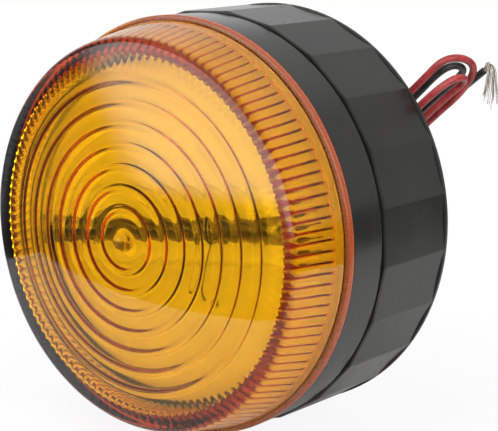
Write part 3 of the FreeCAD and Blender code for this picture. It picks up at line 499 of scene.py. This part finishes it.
def zinc_finish():
    """Zinc-plated steel with a thin yellow-blue passivation."""
    material, shader, start = new_finish("passivated_zinc", Metallic=1.0)
    film = grain(start, 1.8 * mm, 3.0)
    connect(blend_colours(spread(film, 0.35, 0.65), (0.62, 0.64, 0.67), (0.66, 0.61, 0.48)),
            shader, "Base Color")
    connect(spread(grain(start, 0.3 * mm, 3.0), 0.3, 0.7, 0.22, 0.42), shader, "Roughness")
    connect(bump(grain(start, 0.2 * mm, 2.0), 0.01 * mm, 0.4), shader, "Normal")
    return material


def speckled_finish(name, first, second, size, shine, metal=0.0):
    """A moulded, wound or painted surface with a fine mottle."""
    material, shader, start = new_finish(name, Metallic=metal)
    mottle = grain(start, size * mm, 3.0)
    connect(blend_colours(spread(mottle, 0.35, 0.7), first, second), shader, "Base Color")
    connect(spread(mottle, 0.3, 0.7, shine, shine + 0.15), shader, "Roughness")
    connect(bump(mottle, 0.015 * mm, 0.4), shader, "Normal")
    return material


zinc = zinc_finish()
paint(zinc, "board_screws")
paint(speckled_finish("glass_epoxy", (0.02, 0.12, 0.045), (0.03, 0.16, 0.06), 0.8, 0.35),
      "circuit_board")
paint(speckled_finish("can_sleeve", (0.01, 0.012, 0.03), (0.016, 0.02, 0.045), 1.5, 0.25),
      "main_capacitor", "input_capacitor")
paint(speckled_finish("moulded_epoxy", (0.012, 0.012, 0.012), (0.03, 0.03, 0.028), 0.4, 0.5),
      "power_transistor", "thyristor", "trigger_coil", "diodes")
paint(speckled_finish("ferrite", (0.03, 0.03, 0.032), (0.06, 0.058, 0.055), 0.5, 0.55),
      "transformer_core")
paint(speckled_finish("bobbin_nylon", (0.55, 0.53, 0.46), (0.62, 0.6, 0.53), 1.0, 0.4),
      "transformer_bobbin")
paint(speckled_finish("enamelled_copper", (0.55, 0.2, 0.08), (0.38, 0.12, 0.05), 0.3, 0.25, 0.8),
      "transformer_winding")
paint(speckled_finish("film_capacitor_dip", (0.45, 0.08, 0.02), (0.55, 0.13, 0.03), 0.6, 0.3),
      "trigger_capacitor")
paint(speckled_finish("resistor_lacquer", (0.5, 0.38, 0.22), (0.58, 0.46, 0.3), 0.5, 0.35),
      "resistors")

# ------------------------------------------------------------------ leads
# Two 0.22 mm2 stranded leads, red and black, in soft PVC 1.3 mm over all and 15 cm long. They
# leave the grommet side by side, run up behind the lamp and lie folded over each other in a loose
# hank with no tie.
lead_radius = 0.66 * mm


def pvc_finish(name, dark, light):
    """Soft extruded PVC: a faint length-wise cloudiness, dull spots from handling, a waxy shine."""
    material, shader, start = new_finish(name, IOR=1.52, Coat_Roughness=0.25)
    cloud = grain(start, 2.2 * mm, 3.0)
    rub = grain(start, 0.5 * mm, 3.0)
    connect(blend_colours(spread(cloud, 0.35, 0.68), dark, light), shader, "Base Color")
    connect(spread(rub, 0.3, 0.75, 0.3, 0.46), shader, "Roughness")
    connect(spread(cloud, 0.3, 0.7, 0.05, 0.25), shader, "Coat Weight")
    connect(bump(rub, 0.03 * mm, 0.35), shader, "Normal")
    return material


def round_wires(name, lines, radius, sides, steps, taper=1.0):
    """One curve of round wires that follow these lines of points smoothly."""
    curve = bpy.data.curves.new(name, "CURVE")
    curve.dimensions = "3D"
    curve.bevel_depth = radius
    curve.bevel_resolution = sides
    curve.resolution_u = steps
    curve.use_fill_caps = True
    for line in lines:
        spline = curve.splines.new("NURBS")
        spline.points.add(len(line) - 1)
        for i, (point, place) in enumerate(zip(spline.points, line)):
            point.co = (*place, 1.0)
            point.radius = 1.0 - (1.0 - taper) * i / (len(line) - 1)
        spline.order_u = 3
        spline.use_endpoint_u = True
    return add_object(name, curve)


# The routes are part.py's points, in metres. They aren't a list chosen by hand: many of them were
# worked out by program, and nearly all were moved by up to 1 mm for the final camera.
red_route = [
    (0.0090, -0.0012, 0.0085), (0.0090, 0.0020, 0.0085), (0.0111, 0.0046, 0.0102),
    (0.0159, 0.0056, 0.0140), (0.0229, 0.0060, 0.0186), (0.0286, 0.0063, 0.0236),
    (0.0325, 0.0061, 0.0271), (0.0348, 0.0080, 0.0276), (0.0359, 0.0108, 0.0265),
    (0.0350, 0.0130, 0.0243), (0.0317, 0.0136, 0.0205), (0.0268, 0.0138, 0.0167),
    (0.0196, 0.0140, 0.0106), (0.0132, 0.0143, 0.0058), (0.0081, 0.0140, 0.0031),
    (0.0060, 0.0111, 0.0009), (0.0063, 0.0069, 0.0003), (0.0089, 0.0040, 0.0019),
    (0.0139, 0.0038, 0.0057), (0.0204, 0.0039, 0.0118), (0.0267, 0.0042, 0.0171),
    (0.0319, 0.0042, 0.0215), (0.0347, 0.0046, 0.0235), (0.0358, 0.0059, 0.0242),
    (0.0361, 0.0079, 0.0240), (0.0351, 0.0092, 0.0231), (0.0324, 0.0095, 0.0211),
    (0.0278, 0.0091, 0.0173), (0.0235, 0.0089, 0.0132), (0.0193, 0.0084, 0.0100)]
black_route = [
    (0.0090, -0.0012, 0.0055), (0.0090, 0.0022, 0.0055), (0.0114, 0.0052, 0.0069),
    (0.0164, 0.0070, 0.0112), (0.0223, 0.0079, 0.0172), (0.0272, 0.0082, 0.0217),
    (0.0297, 0.0082, 0.0240), (0.0323, 0.0079, 0.0257), (0.0336, 0.0091, 0.0261),
    (0.0342, 0.0106, 0.0255), (0.0334, 0.0116, 0.0243), (0.0306, 0.0119, 0.0223),
    (0.0261, 0.0116, 0.0184), (0.0175, 0.0108, 0.0113), (0.0082, 0.0098, 0.0067),
    (0.0011, 0.0092, 0.0029), (-0.0057, 0.0087, 0.0011), (-0.0076, 0.0109, -0.0019),
    (-0.0066, 0.0139, -0.0043), (-0.0030, 0.0161, -0.0050), (0.0030, 0.0165, -0.0028),
    (0.0108, 0.0162, 0.0034), (0.0186, 0.0162, 0.0101), (0.0259, 0.0158, 0.0173),
    (0.0311, 0.0156, 0.0213), (0.0358, 0.0152, 0.0247)]
red_pvc = pvc_finish("red_pvc", (0.16, 0.012, 0.013), (0.26, 0.03, 0.03))
black_pvc = pvc_finish("black_pvc", (0.008, 0.008, 0.008), (0.02, 0.019, 0.018))
red_lead = round_wires("red_supply_lead", [red_route], lead_radius, sides=5, steps=12)
black_lead = round_wires("black_supply_lead", [black_route], lead_radius, sides=5, steps=12)
red_lead.data.materials.append(red_pvc)
black_lead.data.materials.append(black_pvc)
paint(red_pvc, "inner_lead_red")
paint(black_pvc, "inner_lead_black")

# ------------------------------------------------------------------ bared lead ends
# Each lead is stripped for a few millimetres. The red one's tinned strands are still twisted
# together, and the black one's have frayed into a loose brush that bends over under its weight.
strand_radius = 0.062 * mm
strand_tucked, strand_bare = 1.0, 5.8
frayed_strands = 21
twist_points = 15
# Strands in a ring of the twisted end, the ring's radius and its turns per millimetre.
twisted_rings = ((6, 0.13, 0.22), (11, 0.26, 0.16))


def bared_end(lead):
    """Where a lead's smooth line ends, its way there, and two directions square to that way."""
    bare = add_object("centre_line", lead.data.copy())
    bare.data.bevel_depth = 0.0
    points = [vertex.co.copy() for vertex in plain_mesh(bare).vertices]
    bpy.data.objects.remove(bare)
    way = (points[-1] - points[-2]).normalized()
    side = way.cross(Vector((0, 0, 1))).normalized()
    return points[-1], way, side, side.cross(way).normalized()


def strand_mesh(name, lines, finish, taper=1.0):
    """One mesh of fine strands along these lines of points."""
    rough = round_wires(name, lines, strand_radius, sides=2, steps=6, taper=taper)
    shape = plain_mesh(rough)
    bpy.data.objects.remove(rough)
    shape.name = name
    shape.materials.clear()
    shape.materials.append(finish)
    shape.polygons.foreach_set("use_smooth", [True] * len(shape.polygons))
    return add_object(name, shape)


def tinned_finish():
    """Tinned copper drawn into fine wire: grey metal with warm copper where the tin is thin."""
    material, shader, start = new_finish("tinned_copper", Metallic=1.0)
    patches = grain(start, 0.8 * mm, 2.0)
    connect(blend_colours(spread(patches, 0.42, 0.7), (0.62, 0.57, 0.5), (0.5, 0.36, 0.24)),
            shader, "Base Color")
    connect(spread(patches, 0.3, 0.7, 0.28, 0.5), shader, "Roughness")
    return material


tinned_copper = tinned_finish()

end, way, side, upright = bared_end(black_lead)
shake = random.Random(7)
frayed = []
for i in range(frayed_strands):
    turn = 2 * math.pi * i / frayed_strands + shake.uniform(-0.2, 0.2)
    out = side * math.cos(turn) + upright * math.sin(turn)
    line = [end - way * strand_tucked * mm + out * 0.3 * mm, end + out * 0.34 * mm,
            end + way * 0.5 * mm + out * 0.4 * mm]
    reach = shake.uniform(0.8, 1.08)
    fall = shake.uniform(-0.5, 0.6)
    steps = ((0.4, 0.2, 0.75), (0.55, 0.25, -0.4), (0.0, 0.1, -1.6), (-0.2, 0.0, -2.1),
             (-0.25, 0.0, -2.3 + fall))
    for number, step in enumerate(steps, 1):
        stray = Vector([shake.uniform(-0.1, 0.1) for _ in "xyz"]) * number * 0.6
        line.append(line[-1] + (Vector(step) * reach + stray + out * 0.16) * mm)
    frayed.append(line)
black_strands = strand_mesh("frayed_black_lead_strands", frayed, tinned_copper, taper=0.9)

end, way, side, upright = bared_end(red_lead)
twisted = [[end + way * step * mm for step in (-strand_tucked, 0.0, 2.0, 4.0, strand_bare)]]
for count, circle, turns in twisted_rings:
    for i in range(count):
        line = []
        for k in range(twist_points):
            reach = (strand_bare + strand_tucked) * k / (twist_points - 1) - strand_tucked
            turn = 2 * math.pi * (i / count + turns * reach)
            out = side * math.cos(turn) + upright * math.sin(turn)
            line.append(end + way * reach * mm + out * circle * mm)
        twisted.append(line)
red_strands = strand_mesh("twisted_red_lead_strands", twisted, tinned_copper)

for lead, strands, nodes, slots, exit_z, length in (
        (red_lead, red_strands, ("lead_red", "red_lead_strands"),
         ("red_lead", "tinned_strand"), 0.0085, 0.149),
        (black_lead, black_strands, ("lead_black", "black_lead_strands"),
         ("black_lead", "tinned_strand"), 0.0055, 0.147)):
    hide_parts(nodes[0])
    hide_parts(nodes[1])
    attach(lead, "base")
    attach(strands, "base")

# ------------------------------------------------------------------ rear plate and its fittings
# A round black cover moulded with a thin rim, screwed to the base from behind with four
# countersunk screws. Two brass inserts take the bolts of the vehicle or barricade, and a rubber
# grommet seals the leads.


def brass_finish():
    """Turned brass, a little tarnished in the knurl."""
    material, shader, start = new_finish("turned_brass", Metallic=1.0)
    tarnish = grain(start, 1.1 * mm, 3.0)
    connect(blend_colours(spread(tarnish, 0.4, 0.75), (0.78, 0.56, 0.25), (0.45, 0.29, 0.12)),
            shader, "Base Color")
    connect(spread(tarnish, 0.3, 0.7, 0.2, 0.42), shader, "Roughness")
    return material


def rubber_finish():
    """Moulded nitrile rubber with a matt, faintly talced skin."""
    material, shader, start = new_finish("nitrile_rubber", IOR=1.5)
    talc = grain(start, 0.7 * mm, 4.0)
    connect(blend_colours(spread(talc, 0.55, 0.75), (0.014, 0.014, 0.015), (0.06, 0.06, 0.058)),
            shader, "Base Color")
    connect(spread(talc, 0.3, 0.7, 0.55, 0.75), shader, "Roughness")
    connect(bump(grain(start, 0.25 * mm, 2.0), 0.02 * mm, 0.5), shader, "Normal")
    return material


rubber = rubber_finish()
paint(black_plastic_finish("rear_plate_plastic", shine=0.34, tone=0.012), "rear_plate")
paint(zinc, "cover_screws")
paint(brass_finish(), "threaded_inserts")
paint(rubber, "cable_grommet")

# ------------------------------------------------------------------ neck seal and front ring
# A nitrile O-ring sits in the neck's groove. The smooth black ABS ring is glued to the lens
# flange and turns with it; its three lugs slide along the neck's tracks.
paint(rubber, "neck_seal")
paint(black_plastic_finish("ring_plastic", shine=0.16, tone=0.006), "front_ring")

# ------------------------------------------------------------------ lens
# One injection moulding in transparent amber polycarbonate. The outside is smooth; inside, 120
# round-backed flutes run along the side wall, and seven ring ribs and a low centre pip under the
# slightly domed face spread the flash.
lens_apex = 42.95
lens_dome = 141.1
lens_face = 2.2
lens_rim_radius = 36.5
lens_back = 27.36
lens_flange_front = 28.4
lens_foot_radius = 35.7
lens_front_radius = 33.42
lens_edge_round = 1.8
lens_rim_round = 0.3
lens_mouth = 33.4
flute_count = 120
flute_columns = 5
flute_height = 0.42
flute_back = 28.9
flute_back_radius = 33.1
flute_front_radius = 30.8
flute_front = 39.2
flute_end_drop = 0.25
flute_end_round = ((0.08, 0.16), (0.28, 0.24))
flute_border = 0.45
rib_count = 7
rib_first = 5.3
rib_pitch = 3.5
# Crown radius, foot radius and slope in degrees of a ring rib, the centre pip and the gate mark.
rib = (0.86, 1.28, 32.0)
pip = (5.3, 9.6, 14.0)
gate = (2.5, 4.6, 10.5)
# How much nearer to the axis the line between the wall's two skins comes, per length forwards.
wall_lean = 0.17
amber_dye = (0.982, 0.863, 0.0, 1.0)
amber_dye_density = 1100.0


def arc_points(centre, radius, start, end, steps):
    """Points after the start angle up to the end angle, in degrees from straight outwards."""
    points = []
    for i in range(1, steps + 1):
        angle = math.radians(start + (end - start) * i / steps)
        points.append((centre[0] + radius * math.cos(angle), centre[1] + radius * math.sin(angle)))
    return points


def dome_depth(radius, apex, dome):
    """Depth of a dome of this apex and radius, this far from the lamp's axis."""
    return apex - dome + math.sqrt(dome ** 2 - radius ** 2)


def dome_points(start, end, apex, dome, steps):
    """Points after the start radius up to the end radius, on a dome round the axis."""
    radii = [start + (end - start) * i / steps for i in range(1, steps + 1)]
    return [(radius, dome_depth(radius, apex, dome)) for radius in radii]


def swell(off, crown, fillet, slope):
    """Height of a round-crowned ridge with filleted feet, this far from its middle."""
    steep = math.sin(math.radians(slope))
    if off <= crown * steep:
        top = (crown + fillet) * (1 - math.cos(math.radians(slope)))
        return top - crown + math.sqrt(crown ** 2 - off ** 2)
    rest = (crown + fillet) * steep - off
    return fillet - math.sqrt(fillet ** 2 - rest ** 2) if rest > 0 else 0.0


def ridge_offsets(crown, fillet, slope, steps):
    """Distances from a ridge's middle, from foot to middle, evenly spread over its turns."""
    turns = [math.sin(math.radians(slope) * i / steps) for i in range(steps + 1)]
    half = (crown + fillet) * turns[-1]
    feet = [half - fillet * turn for turn in turns[:-1]]
    return feet + [crown * turn for turn in reversed(turns)]


def flute_angle(column, signals):
    """The angle of a column of the lens."""
    return column / signals["Columns"] * (2 * math.pi)


def flute_radius(radius, column, mark, signals):
    """Each flute is an arc that bulges in towards the axis, with a sharp valley on either side."""
    share = column / signals["Columns"] * signals["Flutes"]
    share = (share + 0.0001).math("FRACT") - 0.0001
    width = radius * (2 * math.pi) / signals["Flutes"]
    height = signals["Flute height"]
    round_radius = (width * width / 4.0 + height * height) / (height * 2.0)
    off = (share - 0.5) * width
    bulge = (round_radius * round_radius - off * off).math("SQRT") - (round_radius - height)
    return radius - bulge * mark("flute")


def amber_finish():
    """Polycarbonate dyed amber right through: the colour is in its volume, so that long paths turn
    deep orange. The moulded skin is glossy, with faint flow waves and fine dust, and the flutes are
    slightly frosted. The back of the flange, bonded to the ring, scatters light, and its pale matt
    layer, carried on to the mouth inside the flutes, is also a painted light that brightens the
    foot of the wall."""
    material, shader, start = new_finish("amber_polycarbonate", IOR=1.55, Transmission_Weight=1.0)
    shader.inputs["Base Color"].default_value = (1.0, 1.0, 1.0, 1.0)
    shader.inputs["Specular IOR Level"].default_value = 0.4
    place = start.node("ShaderNodeTexCoord", output="Object")
    depth = place.parts()[1] * -1.0
    flattened = place.node("ShaderNodeVectorMath", {"operation": "MULTIPLY"},
                           {0: place, 1: (1.0, 0.0, 1.0)})
    radius = place.node("ShaderNodeVectorMath", {"operation": "LENGTH"}, {0: flattened}, output=1)
    skin_line = lens_foot_radius * mm - (depth - lens_flange_front * mm) * wall_lean
    inside = spread(skin_line - radius, 0.5 * mm, 1.0 * mm)
    fluted = inside * (1.0 - spread(depth, flute_front * mm, (flute_front + 0.6) * mm))
    dust = spread(grain(start, 0.4 * mm, 4.0), 0.68, 0.82)
    connect(dust * 0.12 + 0.02 + fluted * 0.1, shader, "Roughness")
    skin = bump(grain(start, 5 * mm, 1.0), 0.01 * mm, 0.3)
    connect(skin, shader, "Normal")
    rim = spread(radius, (lens_rim_radius - 0.25) * mm, (lens_rim_radius - 0.1) * mm)
    behind = 1.0 - spread(depth, (lens_back + 0.5) * mm, (lens_back + 0.7) * mm)
    mouth = (1.0 - spread(depth, flute_back * mm, (flute_back + 0.1) * mm)) * inside
    # The pale matt layer on the back of the flange and the mouth inside the flutes is partly the
    # bonded back's scatter and partly a painted light that brightens the foot of the wall.
    back_scatter_and_painted_light = (behind * (1.0 - rim)).math("MAXIMUM", mouth)
    front = 1.0 - spread(depth, (lens_flange_front + 0.02) * mm, (lens_flange_front + 0.25) * mm)
    front = front * (1.0 - back_scatter_and_painted_light)
    # The pale cream colour is the painted light on the back of the flange and the flute mouths.
    tint = blend_colours(back_scatter_and_painted_light, (0.72, 0.2, 0.05), (0.9, 0.82, 0.62))
    tint = blend_colours(rim, tint, (0.5, 0.09, 0.03))
    glow = start.node("ShaderNodeBsdfPrincipled", {},
                      {"Roughness": 0.3, "Normal": skin, "Base Color": tint})
    mixed = start.node("ShaderNodeMixShader", {},
                       {0: front * 0.2 + front * rim * 0.2 + back_scatter_and_painted_light * 0.85,
                        1: Signal(start.tree, shader.outputs[0]), 2: glow})
    dye = start.node("ShaderNodeVolumeAbsorption", {},
                     {"Color": amber_dye, "Density": amber_dye_density})
    output = material.node_tree.nodes["Material Output"]
    connect(mixed, output, "Surface")
    connect(dye, output, "Volume")
    return material


# Where the edge round meets the side wall and the dome.
dome_centre = Vector((0.0, lens_apex - lens_dome))
front_depth = dome_depth(lens_front_radius, lens_apex, lens_dome)
corner = Vector((lens_front_radius, front_depth))
wall_run = Vector((lens_foot_radius - lens_front_radius, lens_flange_front - front_depth))
wall_way = wall_run.normalized()
wall_inward = Vector((wall_way.y, -wall_way.x))
start_centre = corner + wall_inward * lens_edge_round - dome_centre
ahead = start_centre.dot(wall_way)
short = (lens_dome - lens_edge_round) ** 2 - start_centre.length_squared
slide = -ahead - math.sqrt(ahead ** 2 + short)
round_centre = start_centre + dome_centre + wall_way * slide
wall_side = math.degrees(math.atan2(-wall_inward.y, -wall_inward.x))
dome_side = math.degrees(math.atan2(round_centre.y - dome_centre.y, round_centre.x))
dome_end = round_centre.x + lens_edge_round * math.cos(math.radians(dome_side))

gate_offsets = ridge_offsets(*gate, 4)
lens_section = [(off, dome_depth(off, lens_apex, lens_dome) + swell(off, *gate))
                for off in reversed(gate_offsets)]
lens_section += dome_points(gate_offsets[0], dome_end, lens_apex, lens_dome, 10)
lens_section += arc_points(round_centre, lens_edge_round, dome_side, wall_side, 9)
lens_section += line_points(lens_section[-1], (lens_foot_radius, lens_flange_front), 3)
rim_centre = (lens_rim_radius - lens_rim_round, lens_flange_front - lens_rim_round)
lens_section += [(rim_centre[0], lens_flange_front)]
lens_section += arc_points(rim_centre, lens_rim_round, 90, 0, 3)
lens_section += [(lens_rim_radius, lens_back), (lens_mouth, lens_back), (lens_mouth, flute_back)]
plain_outside = len(lens_section)
lens_section += [(flute_back_radius, flute_back)]
inner_apex, inner_dome = lens_apex - lens_face, lens_dome - lens_face
flute_end = dome_depth(flute_front_radius, inner_apex, inner_dome) - flute_end_drop
lens_section += line_points(lens_section[-1], (flute_front_radius, flute_end), 5)
lens_section += [(flute_front_radius - step, flute_end + rise) for step, rise in flute_end_round]
fluted_end = len(lens_section)
border = flute_front_radius - flute_height - flute_border
lens_section += [(border, dome_depth(border, inner_apex, inner_dome))]
rib_offsets = ridge_offsets(*rib, 3)
for i in reversed(range(rib_count)):
    middle = rib_first + rib_pitch * i
    for off in rib_offsets + [-off for off in reversed(rib_offsets[:-1])]:
        floor_depth = dome_depth(middle + off, inner_apex, inner_dome)
        lens_section.append((middle + off, floor_depth - swell(abs(off), *rib)))
lens_section += [(off, dome_depth(off, inner_apex, inner_dome) - swell(off, *pip))
                 for off in ridge_offsets(*pip, 4)]

flute_marks = [0.0] * plain_outside + [1.0] * (fluted_end - plain_outside)
flute_marks += [0.0] * (len(lens_section) - fluted_end)
lens = section_object("fluted_lens", lens_section, {"flute": flute_marks})
lens_sizes = {"Columns": flute_count * flute_columns, "Flutes": flute_count,
              "Flute height": flute_height * mm}
tree, signals, exit_node = node_tree("fluted_lens", lens_sizes)
finish_tree(exit_node, turned_grid(signals, flute_angle, flute_radius), amber_finish())
make_plain(lens, tree, lens_sizes, sharp_angle=35.0)
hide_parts("lens")
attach(lens, "head")

# ------------------------------------------------------------------ floor, background and lights
# The lamp stands on its rim on a plain pale table, under a wide soft window in front and
# softboxes above, below and at both sides. The background is plain white.
table_left, table_right, table_front, table_back = -0.15, 0.13, -0.105, 0.2
table_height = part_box("rear_plate")[0][2] - 0.0001
softboxes = (("top_softbox", (-0.1, -0.35, 0.75), 0.6, 5.5),
             ("low_softbox", (0.12, -0.5, -0.1), 0.3, 0.7),
             ("left_softbox", (-0.8, -0.4, 0.1), 0.5, 4.6),
             ("right_softbox", (0.7, -0.3, 0.3), 0.4, 9.0))
overhead_light, window_light, room_light = 0.35, 2.6, 0.08


def paper_finish():
    """Matt pale paper. Where it is looked at it is as white as the background, apart from a faint
    shade close to the lamp."""
    paper = bpy.data.materials.new("pale_floor")
    paper.use_nodes = True
    start = Signal(paper.node_tree)
    cloud = spread(grain(start, 0.08, 3.0), 0.3, 0.7)
    matt = start.node("ShaderNodeBsdfDiffuse", {},
                      {"Color": blend_colours(cloud, (0.45, 0.45, 0.44), (0.51, 0.51, 0.50))})
    white = start.node("ShaderNodeEmission", {}, {"Color": (1, 1, 1, 1), "Strength": 1.0})
    seen = start.node("ShaderNodeLightPath", output="Is Camera Ray")
    through = start.node("ShaderNodeLightPath", output="Is Transmission Ray")
    place = start.node("ShaderNodeTexCoord", output="Object")
    from_middle = place.node("ShaderNodeVectorMath", {"operation": "LENGTH"}, {0: place}, output=1)
    shown = seen.math("MAXIMUM", through) * spread(from_middle, 0.05, 0.1, 0.9, 1.0)
    mixed = start.node("ShaderNodeMixShader", {}, {0: shown, 1: matt, 2: white})
    connect(mixed, paper.node_tree.nodes["Material Output"], "Surface")
    return paper


table_mesh = bpy.data.meshes.new("floor")
table_mesh.from_pydata([(table_left, table_front, table_height),
                        (table_right, table_front, table_height),
                        (table_right, table_back, table_height),
                        (table_left, table_back, table_height)], [], [(0, 1, 2, 3)])
table_mesh.materials.append(paper_finish())
add_object("floor", table_mesh)

world = bpy.data.worlds.new("studio")
bpy.context.scene.world = world
world.use_nodes = True
room = world.node_tree.nodes["Background"]
room.inputs["Color"].default_value = (1, 1, 1, 1)
ray = Signal(world.node_tree)
# How light the room is each way: x points right, y back and z up, each from -1 to 1.
way_x, way_y, way_z = ray.node("ShaderNodeTexCoord", output="Generated").parts()
backdrop = spread(way_y, -0.1, 0.3) * spread(way_z, -0.03, 0.05)
backdrop = backdrop * spread(way_x, -0.6, -0.2, 0.8, 0.4)
overhead = spread(way_z, 0.45, 0.85)
window = spread(way_x * 1.7 + way_z, -1.2, -0.96) * spread(way_y, -0.6, -0.3, 1.0, 0.0)
window = window * spread(way_z, -0.08, -0.01) * spread(way_z, 0.4, 0.6, 1.0, 0.0)
studio = backdrop + overhead * overhead_light + window * window_light + room_light
camera_ray = ray.node("ShaderNodeLightPath", output="Is Camera Ray")
connect(camera_ray + studio * (1.0 - camera_ray), room, "Strength")

for name, place, size, power in softboxes:
    light = bpy.data.lights.new(name, "AREA")
    light.shape = "SQUARE"
    light.size = size
    light.energy = power
    fixture = add_object(name, light)
    fixture.location = place
    fixture.rotation_euler = (-Vector(place)).to_track_quat("-Z", "Y").to_euler()
    fixture.visible_glossy = False
bpy.context.scene.view_settings.view_transform = "Standard"
